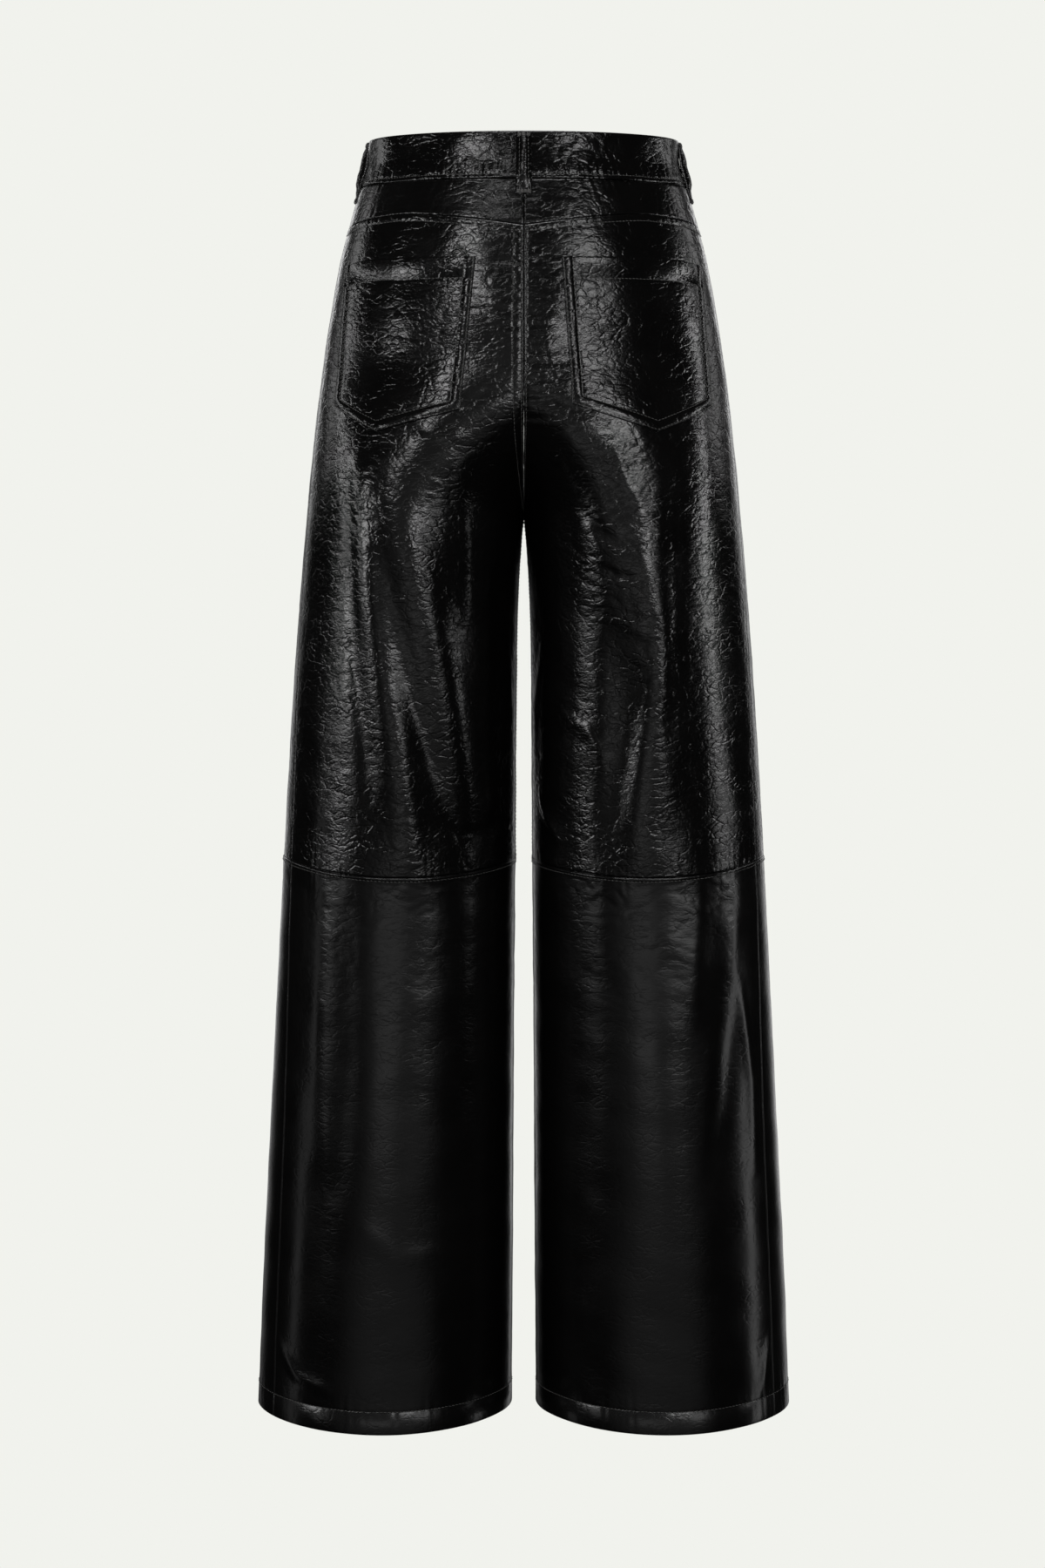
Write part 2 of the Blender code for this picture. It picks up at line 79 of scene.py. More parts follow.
# Below the crotch: height, and how far each leg's inner side stands from the middle.
INNER_GAPS = (
    (CROTCH, 0.0000),
    (-0.327, 0.0018),
    (-0.345, 0.0032),
    (-0.379, 0.0052),
    (-0.410, 0.0063),
    (-0.500, 0.0072),
    (-0.620, 0.0078),
    (-0.760, 0.0090),
    (-0.900, 0.0097),
    (-1.100, 0.0114),
)
# The side seam: height, and how far it lies behind the side line, along the cloth.
SIDE_SEAM = (
    (0.000, 0.000),
    (-0.100, 0.010),
    (-0.220, 0.020),
    (-0.450, 0.035),
    (-0.610, 0.0425),
    (-0.850, 0.053),
    (-1.100, 0.056),
)
# The yoke seam: distance from the centre back along the cloth, and height.
YOKE_SEAM = (
    (0.000, -0.0776),
    (0.035, -0.0730),
    (0.070, -0.0690),
    (0.105, -0.0668),
    (0.140, -0.0685),
    (0.205, -0.0757),
)
YOKE_LEVEL = -0.072

# Patch pockets: distances from the centre back along the cloth, and heights.
Pocket = namedtuple(
    "Pocket", "inner_top inner_low point outer_low outer_top top inner_end point_end outer_end"
)
POCKETS = {
    -1: Pocket(0.0397, 0.0521, 0.1261, 0.1775, 0.1740, -0.1030, -0.2279, -0.2458, -0.2239),
    1: Pocket(0.0310, 0.0398, 0.1126, 0.1760, 0.1730, -0.1030, -0.2236, -0.2458, -0.2239),
}
POCKET_CORNER_DROP = 0.0040

# The solids' folds, as distances behind the side line (negative in front of it).
Fold = namedtuple("Fold", "side top foot at_top at_middle at_foot half_width height")
FOLDS = (
    Fold(-1, -0.235, -0.640, 0.108, 0.143, 0.172, 0.017, 0.0035),
    Fold(-1, -0.262, -0.580, 0.132, 0.190, 0.226, 0.018, 0.0030),
    Fold(-1, -0.280, -0.600, 0.126, 0.166, 0.200, 0.012, -0.0022),
    Fold(-1, -0.330, -0.600, 0.262, 0.268, 0.272, 0.020, -0.0030),
    Fold(1, -0.290, -0.640, 0.160, 0.146, 0.170, 0.020, 0.0042),
    Fold(1, -0.330, -0.620, 0.195, 0.180, 0.200, 0.014, -0.0024),
    Fold(1, -0.340, -0.610, 0.250, 0.278, 0.252, 0.018, -0.0035),
    Fold(-1, -0.660, -1.020, 0.150, 0.158, 0.165, 0.030, 0.0025),
    Fold(1, -0.640, -1.000, 0.165, 0.160, 0.150, 0.030, 0.0028),
    Fold(-1, -0.200, -0.560, -0.150, -0.165, -0.160, 0.020, 0.0035),
    Fold(-1, -0.300, -0.620, -0.215, -0.225, -0.215, 0.016, -0.0028),
    Fold(-1, -0.630, -1.010, -0.160, -0.150, -0.155, 0.028, 0.0028),
    Fold(1, -0.220, -0.600, -0.165, -0.155, -0.165, 0.020, 0.0038),
    Fold(1, -0.320, -0.590, -0.225, -0.220, -0.205, 0.017, -0.0026),
    Fold(1, -0.650, -1.030, -0.150, -0.162, -0.160, 0.030, 0.0026),
)

# Waistband, belt loops, fly and button.
LAP = 0.010
UNDERLAP = 0.030
LAP_EASE = 0.014
LOOP_WIDTH = 0.0134
LOOP_LEATHER = 0.0020
FRONT_LOOP_AT = 0.0520
SIDE_LOOP_BACK = 0.0040
LOOP_PROFILE = (
    (-0.0015, 0.0025),
    (-0.0060, 0.0038),
    (-0.0120, 0.0073),
    (-0.0200, 0.0090),
    (-0.0290, 0.0088),
    (-0.0370, 0.0072),
    (-0.0440, 0.0040),
    (-0.0480, 0.0026),
    (-0.0525, 0.0024),
)
FLY_CLEARANCE = 0.0008
FACING_WIDTH = 0.036
FACING_LENGTH = 0.165
SHIELD_WIDTH = 0.040
SHIELD_PAST = 0.006
TAPE_HALF = 0.013
TAPE_LENGTH = 0.150
TAPE_TOP = -0.0560
TAPE = 0.0010
SLIDER_HALF = 0.0045
SLIDER_TOP = -0.0450
SLIDER = 0.0026
BUTTON_RADIUS = 0.0085
BUTTON_HEIGHT = 0.0036
BUTTON_AT = -0.0185

# Grid cells of each panel's outer surface, and every how many of them the inner one has.
COARSE = 1.0
BACK_CELL = 0.0018 * COARSE
LOWER_CELL = 0.0020 * COARSE
FRONT_CELL = 0.0026 * COARSE
SMALL_CELL = 0.0015 * COARSE
INNER_EVERY = 4


# -------- the cloth's surface
def curve(table, column=1):
    """A smooth curve through a table's column, as a function of its first column."""
    rows = np.array(sorted(table))
    keys = rows[:, 0]
    values = rows[:, column]
    spans = np.diff(keys)
    rises = np.diff(values) / spans
    slopes = np.concatenate(([rises[0]], np.zeros(len(spans) - 1), [rises[-1]]))
    for k in range(1, len(spans)):
        left, right, before, after = rises[k - 1], rises[k], spans[k - 1], spans[k]
        if left * right > 0:
            weights = (2 * after + before) / left + (after + 2 * before) / right
            slopes[k] = 3 * (before + after) / weights

    def at(x):
        x = np.clip(x, keys[0], keys[-1])
        k = np.clip(np.searchsorted(keys, x, side="right") - 1, 0, len(spans) - 1)
        t = (x - keys[k]) / spans[k]
        start = (1 + 2 * t) * (1 - t) ** 2 * values[k] + t * (1 - t) ** 2 * spans[k] * slopes[k]
        finish = t * t * (3 - 2 * t) * values[k + 1] + t * t * (t - 1) * spans[k] * slopes[k + 1]
        return start + finish

    return at


half_width = curve(SECTIONS, 1)
back_depth = curve(SECTIONS, 2)
front_depth = curve(SECTIONS, 3)
inner_gap = curve(INNER_GAPS)
side_seam = curve(SIDE_SEAM)
yoke_line = curve(YOKE_SEAM)
loop_stand = curve(LOOP_PROFILE)


def ease(t):
    """Smooth step from 0 to 1."""
    t = np.clip(t, 0.0, 1.0)
    return t * t * (3 - 2 * t)


def bell(x):
    """A soft bump, 1 in the middle."""
    return np.exp(-x * x)


def section(z):
    """Half of the garment's section at a height: its middle, half width and last angle."""
    down = np.clip((RISE_TOP - z) / (RISE_TOP - CROTCH), 0.0, 1.0)
    turn = (3 - CROTCH_SLOPE) * down ** 2 + (CROTCH_SLOPE - 2) * down ** 3
    gap = np.where(z < CROTCH, inner_gap(z), 0.0)
    half = half_width(z)
    radius = (half - gap) / (1 + turn)
    return half - radius, radius, np.arccos(np.clip(-turn, -1.0, 1.0))


# Angles round the section for even shares of the cloth's length, at heights 1 mm apart.
LEVEL = 0.001
LEVELS = 0.012 - LEVEL * np.arange(1125)
SHARES = np.linspace(0.0, 1.0, 161)


def arc_table(depth):
    """Length of cloth from the side line to the middle at each level, and the angles of its shares."""
    _, radius, end = section(LEVELS)
    angles = end[:, None] * np.linspace(0.0, 1.0, 241)
    across = radius[:, None] * np.cos(angles)
    deep = depth(LEVELS)[:, None] * np.sin(angles)
    lengths = np.cumsum(np.hypot(np.diff(across), np.diff(deep)), axis=1)
    lengths = np.hstack((np.zeros((len(LEVELS), 1)), lengths))
    turns = [np.interp(SHARES * row[-1], row, angle) for row, angle in zip(lengths, angles)]
    return lengths[:, -1], np.array(turns)


ARCS = {True: arc_table(back_depth), False: arc_table(front_depth)}


def reach(z, behind):
    """Length of cloth from the side line to the centre or the inseam."""
    return np.interp(z, LEVELS[::-1], ARCS[behind][0][::-1])


def angle_at(u, z, behind):
    """Angle round the section at a length of cloth from its side line."""
    table = ARCS[behind][1]
    row = np.clip((LEVELS[0] - z) / LEVEL, 0, len(LEVELS) - 1.001)
    column = np.clip(np.abs(u) / reach(z, behind), 0, 1) * (len(SHARES) - 1.001)
    i = row.astype(int)
    j = column.astype(int)
    f = row - i
    g = column - j
    upper = table[i, j] * (1 - g) + table[i, j + 1] * g
    lower = table[i + 1, j] * (1 - g) + table[i + 1, j + 1] * g
    return upper * (1 - f) + lower * f


def fold_height(side, u, z):
    """How far the solids' folds lift the cloth at a place."""
    height = np.zeros(np.shape(u))
    for fold in FOLDS:
        if fold.side != side:
            continue
        down = (fold.top - z) / (fold.top - fold.foot)
        bow = fold.at_middle - (fold.at_top + fold.at_foot) / 2
        centre = fold.at_top + (fold.at_foot - fold.at_top) * down + 4 * bow * down * (1 - down)
        swell = np.sin(math.pi * np.clip(down, 0.0, 1.0))
        height = height + fold.height * swell * bell((u - centre) / fold.half_width)
    return height


def cloth(side, u, z, out, clear=SEAM_SLIT):
    """Points of the cloth: u along it from the side line, positive behind, and out from its middle."""
    u, z, out = (np.asarray(a, float) for a in np.broadcast_arrays(u, z, out))
    behind = u >= 0
    angle = np.where(behind, angle_at(u, z, True), angle_at(u, z, False))
    centre, radius, _ = section(z)
    depth = np.where(behind, -back_depth(z), front_depth(z))
    cosine = np.cos(angle)
    sine = np.sin(angle)
    normal_x = cosine / radius
    normal_y = sine / depth
    length = np.hypot(normal_x, normal_y)
    normal_x, normal_y = normal_x / length, normal_y / length
    step = 0.004
    above = section(z + step)
    below = section(z - step)
    lean_x = (above[0] - below[0] + (above[1] - below[1]) * cosine) / (2 * step)
    back_lean = back_depth(z - step) - back_depth(z + step)
    front_lean = front_depth(z + step) - front_depth(z - step)
    lean_y = np.where(behind, back_lean, front_lean) * sine / (2 * step)
    outward = np.stack((normal_x, normal_y, -(normal_x * lean_x + normal_y * lean_y)), axis=-1)
    outward /= np.linalg.norm(outward, axis=-1, keepdims=True)
    place = np.stack((centre + radius * cosine, depth * sine, z), axis=-1)
    place = place + outward * (out + fold_height(side, u, z))[..., None]
    place[..., 0] = side * np.maximum(place[..., 0], clear)
    return place


def turned(u, z, out):
    """Points of the right side's cloth that may run on past the centre back or front."""
    u, z, out = (np.asarray(a, float) for a in np.broadcast_arrays(u, z, out))
    end = np.where(u > 0, reach(z, True), reach(z, False))
    past = np.abs(u) > end
    other = np.sign(u) * (2 * end - np.abs(u))
    here = cloth(1, u, z, out, clear=-1.0)
    there = cloth(-1, other, z, out, clear=-1.0)
    return np.where(past[..., None], there, here)


def yoke_height(u):
    """Height of the yoke seam."""
    return yoke_line(reach(YOKE_LEVEL, True) - u)


def knee_height(u):
    """Height of the knee seam, which dips behind the leg."""
    share = np.maximum(u, 0.0) / reach(KNEE, True)
    return KNEE - KNEE_DIP * np.sin(math.pi * share) ** 2 - KNEE_INSEAM_DROP * share


def hem_height(u):
    """Height of the hem, which dips behind the leg."""
    share = np.maximum(u, 0.0) / reach(HEM, True)
    return HEM - HEM_DIP * np.sin(math.pi * share) ** 2


# -------- creases, crinkle and puckers
def waves(seed, across, down, count=14):
    """A smooth random field over the cloth, mostly within -1 to 1, of about those wavelengths."""
    rng = np.random.default_rng(seed)
    turn = rng.uniform(0, math.pi, count)
    scale = rng.uniform(0.65, 1.45, count)
    phase = rng.uniform(0, 2 * math.pi, count)
    along_u = 2 * math.pi / across * scale * np.cos(turn)
    along_z = 2 * math.pi / down * scale * np.sin(turn)

    def field(u, z):
        total = 0.0
        for a, b, c in zip(along_u, along_z, phase):
            total = total + np.cos(a * u + b * z + c)
        return total * math.sqrt(2 / count) / 1.4

    return field


# Ridges and troughs pressed into each side's cloth, in millimetres: half widths on the side
# line's side and on the other, height, and points (distance behind the side line, negative in front
# of it, and height).
CREASES = {
    -1: (
        # Back thigh: the long ridge that starts as a point, its branch, and the troughs by them.
        (14, 11, 1.2, (108, -262), (122, -291), (130, -325), (136, -377), (142, -427), (149, -471),
         (156, -507), (161, -548), (166, -592)),
        (13, 34, 2.7, (128, -280), (144, -319), (151, -349), (162, -383), (170, -419), (180, -455),
         (192, -489), (207, -517), (222, -545)),
        (7, 8, -1.4, (100, -269), (111, -319), (115, -377), (119, -435), (127, -493), (133, -550)),
        (26, 15, 2.1, (152, -470), (160, -530), (166, -580), (168, -625)),
        (5, 6, 1.1, (158, -240), (180, -249), (199, -250)),
        (8, 9, 1, (186, -262), (206, -290), (216, -340), (218, -400)),
        (7, 7, 0.9, (263, -403), (275, -423), (284, -445), (289, -489)),
        (8, 8, -1.8, (195, -554), (212, -580), (241, -578), (263, -564)),
        # Seat: lines drawn from the pocket to the crotch.
        (9, 8, 0.7, (182, -112), (196, -128), (206, -152), (221, -184)),
        (6, 6, -0.6, (184, -94), (199, -104), (212, -124)),
        (4, 5, -0.8, (190, -228), (208, -214), (226, -216)),
        # Behind the shin, and by the hem.
        (14, 11, 1.4, (92, -616), (96, -668), (94, -718), (96, -792), (105, -864)),
        (10, 12, -0.9, (118, -640), (122, -760), (118, -880)),
        (5, 5, 1.1, (57, -1008), (85, -1036), (114, -1044)),
        (10, 8, 0.6, (140, -905), (172, -930), (215, -926)),
        # Front: like ones at the fly's foot, down the thigh, at the knee and down the shin.
        (5, 5, -1.1, (-262, -232), (-236, -254), (-196, -268)),
        (6, 5, -1.2, (-284, -286), (-252, -292), (-206, -318)),
        (4, 6, 1, (-244, -272), (-214, -286), (-176, -292)),
        (9, 7, 1.8, (-130, -205), (-142, -268), (-138, -350), (-150, -436)),
        (8, 9, -1.3, (-196, -330), (-190, -400), (-204, -488)),
        (7, 6, -1.2, (-80, -552), (-122, -574), (-172, -568)),
        (5, 6, 1, (-110, -530), (-146, -546), (-190, -536)),
        (12, 10, 1.3, (-120, -640), (-128, -752), (-116, -872)),
        (8, 10, -1, (-214, -628), (-224, -700), (-218, -790)),
    ),
    1: (
        # Back thigh: the broad face towards the seat, the ridge it runs into, and their troughs.
        (40, 20, 4.4, (208, -228), (206, -285), (198, -333), (184, -385), (172, -420)),
        (12, 10, 1.3, (159, -345), (154, -383), (148, -405), (147, -427), (151, -455), (156, -485),
         (161, -521), (167, -564), (170, -596)),
        (8, 8, -1.3, (126, -255), (134, -319), (134, -391), (136, -449), (141, -507)),
        (10, 16, -1.2, (166, -396), (160, -419), (163, -455), (173, -499), (187, -550)),
        (6, 6, 0.9, (180, -403), (165, -407), (152, -417)),
        (4, 7, 0.8, (238, -479), (212, -489), (198, -507), (194, -525)),
        (6, 5, -1, (196, -250), (186, -285), (170, -318)),
        (4, 5, 0.8, (176, -256), (171, -284), (158, -310)),
        (4, 5, -0.9, (214, -302), (192, -328), (168, -346)),
        (3, 4, -0.8, (198, -352), (182, -362), (160, -366)),
        (7, 7, 0.9, (271, -419), (280, -445), (290, -475), (293, -511)),
        (5, 5, 1.3, (276, -550), (257, -570), (244, -584)),
        (19, 19, 2.8, (252, -350), (266, -415), (277, -475), (268, -540), (256, -600)),
        # Seat: lines drawn from the pocket to the crotch.
        (9, 8, 0.6, (189, -120), (200, -150), (214, -184), (224, -205)),
        (6, 6, -0.6, (186, -98), (203, -108), (214, -132)),
        (4, 5, -0.9, (196, -232), (214, -220), (230, -224)),
        # Behind the shin, and by the hem.
        (10, 10, 1.3, (113, -612), (118, -666), (126, -724)),
        (10, 13, 1.1, (75, -624), (86, -682), (104, -754), (118, -828)),
        (8, 8, -0.9, (88, -740), (96, -800), (116, -868)),
        (5, 7, 1.1, (78, -700), (66, -790), (68, -862)),
        (4, 5, 1.1, (58, -1006), (66, -1030), (70, -1048)),
        # Front: like ones at the fly's foot, down the thigh, at the knee and down the shin.
        (5, 6, -1.2, (-258, -240), (-224, -262), (-184, -284)),
        (5, 5, -1, (-286, -292), (-262, -300), (-226, -304)),
        (5, 4, 1.1, (-250, -262), (-212, -272), (-182, -306)),
        (8, 9, 1.7, (-122, -230), (-136, -312), (-150, -392), (-146, -474)),
        (9, 7, -1.2, (-186, -350), (-196, -424), (-188, -506)),
        (6, 7, -1.3, (-94, -562), (-134, -572), (-182, -556)),
        (10, 12, 1.3, (-126, -618), (-118, -716), (-130, -838)),
        (9, 8, -0.9, (-206, -650), (-200, -742), (-212, -816)),
    ),
}


def crease_height(side, u, z):
    """How far the listed ridges and troughs lift the cloth."""
    total = np.zeros(np.shape(u))
    for row in CREASES[side]:
        outer_half, inner_half, height = np.array(row[:3]) / 1000
        points = np.array(row[3:]) / 1000
        margin = 3 * max(outer_half, inner_half)
        near = (u > points[:, 0].min() - margin) & (u < points[:, 0].max() + margin)
        near &= (z > points[:, 1].min() - margin) & (z < points[:, 1].max() + margin)
        if not near.any():
            continue
        spans = np.hypot(*np.diff(points, axis=0).T)
        best = np.full(near.sum(), np.inf)
        way = np.zeros(near.sum())
        width = np.zeros(near.sum())
        gone = 0.0
        for start, end, span in zip(points, points[1:], spans):
            line = (end - start) / span
            across, down = u[near] - start[0], z[near] - start[1]
            along = np.clip(across * line[0] + down * line[1], 0, span)
            away = np.hypot(across - along * line[0], down - along * line[1])
            closer = away < best
            best = np.where(closer, away, best)
            way = np.where(closer, gone + along, way)
            outer = (across * line[1] - down * line[0]) > 0
            width = np.where(closer, np.where(outer, outer_half, inner_half), width)
            gone += span
        swell = np.sqrt(np.sin(math.pi * np.clip(0.04 + 0.92 * way / spans.sum(), 0, 1)))
        total[near] += height * swell * bell(best / width)
    return total


# Crinkle: seed, wavelengths across and down the cloth, depth, and how wide its lines are.
Crinkle = namedtuple("Crinkle", "seed across down depth line")
CRINKLE_SEED = 3000
CRINKLES = (
    Crinkle(11, 0.044, 0.017, 0.00018, 0.42),
    Crinkle(23, 0.024, 0.0095, 0.00012, 0.46),
)
# Slow waves: those that bend the lines sideways and up, those that thin them out in patches, and
# those that swell the cloth itself.
Wave = namedtuple("Wave", "seed across down height")
BEND_SIDEWAYS = Wave(1000, 0.050, 0.040, 0.007)
BEND_UPWARDS = Wave(2000, 0.045, 0.035, 0.005)
PATCHES = Wave(4000, 0.110, 0.080, 0.55)
SWELL = Wave(5000, 0.060, 0.045, 0.00015)
# Share of the crinkle that is lost below the knee, and the heights between which it fades.
SHIN_CALM = 0.80
CALM_BELOW = 0.03
CALM_OVER = 0.18

# Where the cloth is most creased: side, place, half width, half height, and how much more.
WORN = (
    (1, 0.190, -0.305, 0.036, 0.075, 1.8),
    (1, 0.156, -0.420, 0.014, 0.050, 1.2),
    (-1, 0.196, -0.290, 0.020, 0.070, 1.0),
    (-1, 0.130, -0.330, 0.016, 0.080, 1.2),
    (-1, 0.165, -0.590, 0.018, 0.070, 1.4),
    (1, 0.182, -0.600, 0.020, 0.070, 1.4),
    (-1, 0.196, -0.110, 0.030, 0.050, 1.4),
    (1, 0.192, -0.115, 0.026, 0.050, 1.2),
    (-1, -0.215, -0.280, 0.040, 0.070, 1.8),
    (1, -0.210, -0.290, 0.040, 0.070, 1.8),
    (-1, -0.130, -0.575, 0.050, 0.050, 1.2),
    (1, -0.135, -0.570, 0.050, 0.050, 1.2),
)


def slow(wave, seed, u, z):
    """Height of a slow wave."""
    return wave.height * waves(wave.seed + seed, wave.across, wave.down)(u, z)


def pressed(kind, seed, u, z, patch):
    """Depth of the lines of one kind of crinkle."""
    field = waves(seed + kind.seed, kind.across, kind.down)(u, z)
    return kind.depth * patch * bell(field / kind.line)


def crinkle(side, u, z):
    """Shallow meandering lines pressed into the leather, denser in some patches than in others."""
    seed = 100 * side
    worn = 1.0
    for worn_side, at_u, at_z, wide, tall, more in WORN:
        if worn_side == side:
            worn = worn + more * bell(np.hypot((u - at_u) / wide, (z - at_z) / tall))
    bent_u = u + slow(BEND_SIDEWAYS, seed, u, z)
    bent_z = z + slow(BEND_UPWARDS, seed, u, z)
    height = np.zeros(np.shape(u))
    for kind in CRINKLES:
        patch = np.clip(0.62 + slow(PATCHES, seed + kind.seed, u, z), 0.12, 1.0)
        height -= pressed(kind, CRINKLE_SEED + seed, bent_u, bent_z, patch)
    calm = 1 - SHIN_CALM * ease((KNEE - CALM_BELOW - z) / CALM_OVER)
    return height * calm * worn + slow(SWELL, seed, u, z)


# Small gathers that stitching leaves by the seams: seed, wavelength, how far they reach, and height.
Gathers = namedtuple("Gathers", "seed period fade height")
WAIST_GATHERS = Gathers(41, 0.0075, 0.007, 0.00030)
KNEE_GATHERS = Gathers(52, 0.0060, 0.009, 0.00042)
HEM_GATHERS = Gathers(63, 0.0085, 0.008, 0.00022)
YOKE_GATHERS = Gathers(74, 0.0080, 0.006, 0.00024)
CENTRE_GATHERS = Gathers(85, 0.0105, 0.014, 0.00050)
POCKET_GATHERS = Gathers(301, 0.0065, 0.004, 0.00018)
FACING_GATHERS = Gathers(311, 0.0060, 0.003, 0.00012)
BAND_GATHERS = Gathers(905, 0.0055, 0.0055, 0.00046)
KNEE_GATHERS_REACH = 0.075
KNEE_GATHERS_ELSEWHERE = 0.45
CENTRE_GATHERS_IN = 0.008
CENTRE_GATHERS_START = 0.06


def pucker(gathers, side, along, away):
    """Waves along a seam that die away from it."""
    rng = np.random.default_rng(gathers.seed + side)
    period = gathers.period
    total = 0.0
    for scale in (0.72, 1.0, 1.31):
        drift = rng.uniform(0.2, 0.6) * np.sin(along / (period * 4.7) + rng.uniform(0, 6))
        total = total + np.cos(2 * math.pi * along / (period * scale) + rng.uniform(0, 6) + drift)
    uneven = 0.6 + 0.4 * np.sin(along / (period * 3.1) + rng.uniform(0, 6))
    return gathers.height * total / 2 * uneven * np.exp(-np.abs(away) / gathers.fade)


def puckers(side, u, z):
    """Gathers along the waist, yoke, centre back, knee and hem seams."""
    height = pucker(WAIST_GATHERS, side, u, z - WAIST_SEAM)
    share = ease(2 - np.abs(u) / KNEE_GATHERS_REACH)
    share = KNEE_GATHERS_ELSEWHERE + (1 - KNEE_GATHERS_ELSEWHERE) * share
    height = height + pucker(KNEE_GATHERS, side, u, z - knee_height(u)) * share
    height = height + pucker(HEM_GATHERS, side, u, z - hem_height(u) - HEM_TURN)
    yoke = pucker(YOKE_GATHERS, side, u, z - yoke_height(np.maximum(u, 0)))
    centre = pucker(CENTRE_GATHERS, side, z, reach(z, True) - u - CENTRE_GATHERS_IN)
    centre = centre * ease((z - CROTCH) / CENTRE_GATHERS_START)
    return height + np.where(u > 0, yoke + centre, 0.0)


def relief(side, u, z):
    """What the outer face follows."""
    return crease_height(side, u, z) + crinkle(side, u, z) + puckers(side, u, z)


# -------- meshes
def make_mesh(name, points, faces, finishes, face_finish=None, sharp=55):
    """A named object from points and faces, shaded smooth."""
    mesh = bpy.data.meshes.new(name)
    mesh.from_pydata(np.asarray(points, float).reshape(-1, 3).tolist(), [], faces)
    for finish in finishes:
        mesh.materials.append(finish)
    if face_finish is not None:
        mesh.polygons.foreach_set("material_index", face_finish)
    mesh.update()
    mesh.shade_smooth()
    mesh.set_sharp_from_angle(angle=math.radians(sharp))
    piece = bpy.data.objects.new(name, mesh)
    bpy.context.scene.collection.objects.link(piece)
    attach(piece, "root")
    return piece


def grid_faces(rows, columns, first, flip):
    """Quads over a grid of points numbered row by row from first."""
    i, j = np.meshgrid(np.arange(rows - 1), np.arange(columns - 1), indexing="ij")
    corner = (first + i * columns + j).ravel()
    quads = np.stack((corner, corner + columns, corner + columns + 1, corner + 1), axis=1)
    return (quads[:, ::-1] if flip else quads).tolist()


def kept(count, every):
    """Every few of a number of grid lines, with the first and the last."""
    return sorted(set(range(0, count, every)) | {count - 1})


def wall(name, outer, inner_at, flip, finishes, every=INNER_EVERY):
    """A closed wall: an outer grid, a coarser inner one at inner_at(rows, columns), and its rim."""
    rows, columns = outer.shape[:2]
    keep_rows = kept(rows, every)
    keep_columns = kept(columns, every)
    inner = inner_at(keep_rows, keep_columns)
    faces = grid_faces(rows, columns, 0, flip)
    outer_count = len(faces)
    start = rows * columns
    faces += grid_faces(len(keep_rows), len(keep_columns), start, not flip)

    def out(i, j):
        return i * columns + j

    def into(k, m):
        return start + k * len(keep_columns) + m

    rim = []
    for row, k in ((0, 0), (rows - 1, len(keep_rows) - 1)):
        for m, (a, b) in enumerate(zip(keep_columns, keep_columns[1:])):
            ring = [out(row, j) for j in range(a, b + 1)] + [into(k, m + 1), into(k, m)]
            rim.append(ring if row == 0 else ring[::-1])
    for column, m in ((0, 0), (columns - 1, len(keep_columns) - 1)):
        for k, (a, b) in enumerate(zip(keep_rows, keep_rows[1:])):
            ring = [out(i, column) for i in range(a, b + 1)] + [into(k + 1, m), into(k, m)]
            rim.append(ring[::-1] if column == 0 else ring)
    inner_count = len(faces) - outer_count
    faces += [ring[::-1] for ring in rim] if flip else rim
    index = [0] * outer_count + [len(finishes) - 1] * inner_count + [0] * len(rim)
    points = np.concatenate((outer.reshape(-1, 3), inner.reshape(-1, 3)))
    return make_mesh(name, points, faces, finishes, index)


# A border of a panel: its sewn rows (distances from it), how far its seam allowance lifts it and
# how wide, and how far it runs on under its neighbour and how deep.
Border = namedtuple("Border", "rows lift lift_width tuck tuck_depth", defaults=((), 0.0, 0.0, 0.0, 0.0))
PLAIN = Border()
EDGE_ROUND = 0.0014
EDGE_DROP = 0.0010
EDGE_LINES = (0.0, 0.0003, 0.0007, 0.0012, 0.0022)
CLOSEST_LINES = 0.00025
GROOVE_DEPTH = 0.00052
GROOVE_HALF = 0.0008
LIFT_FALL = 0.0022


def border_lines(border):
    """Distances of the grid lines near a border."""
    lines = set(EDGE_LINES)
    for row in border.rows:
        lines |= {row - GROOVE_HALF, row, row + GROOVE_HALF}
    if border.lift:
        lines |= {border.lift_width - GROOVE_HALF, border.lift_width + GROOVE_HALF}
    lines = sorted(line for line in lines if line >= 0)
    lines = [a for a, b in zip(lines, lines[1:] + [1.0]) if b - a > CLOSEST_LINES]
    if border.tuck:
        lines = [-border.tuck, -border.tuck / 2, -SEAM / 2] + lines
    return np.array(lines)


def stations(near, far, length, cell):
    """Grid lines over a span as its share plus a distance: fixed at both ends, even between."""
    count = max(2, round((length - near[-1] - far[-1]) / cell))
    even = np.arange(1, count) / count
    shares = np.concatenate((np.zeros(len(near)), even, np.ones(len(far))))
    offsets = np.concatenate((near, near[-1] * (1 - even) - far[-1] * even, -far[::-1]))
    return shares, offsets


def border_profile(border, distance):
    """How far a border's rounding, lift and sewn grooves move the outer face."""
    within = np.clip(1 - distance / EDGE_ROUND, 0, 1)
    height = -EDGE_DROP * (1 - np.sqrt(1 - within ** 2 * 0.999))
    if border.lift:
        height = height + border.lift * (1 - ease((distance - border.lift_width) / LIFT_FALL + 0.5))
    for row in border.rows:
        height = height - GROOVE_DEPTH * bell((distance - row) / GROOVE_HALF)
    if border.tuck:
        height = np.where(distance < 0, -border.tuck_depth - LEATHER / 2, height)
    return height


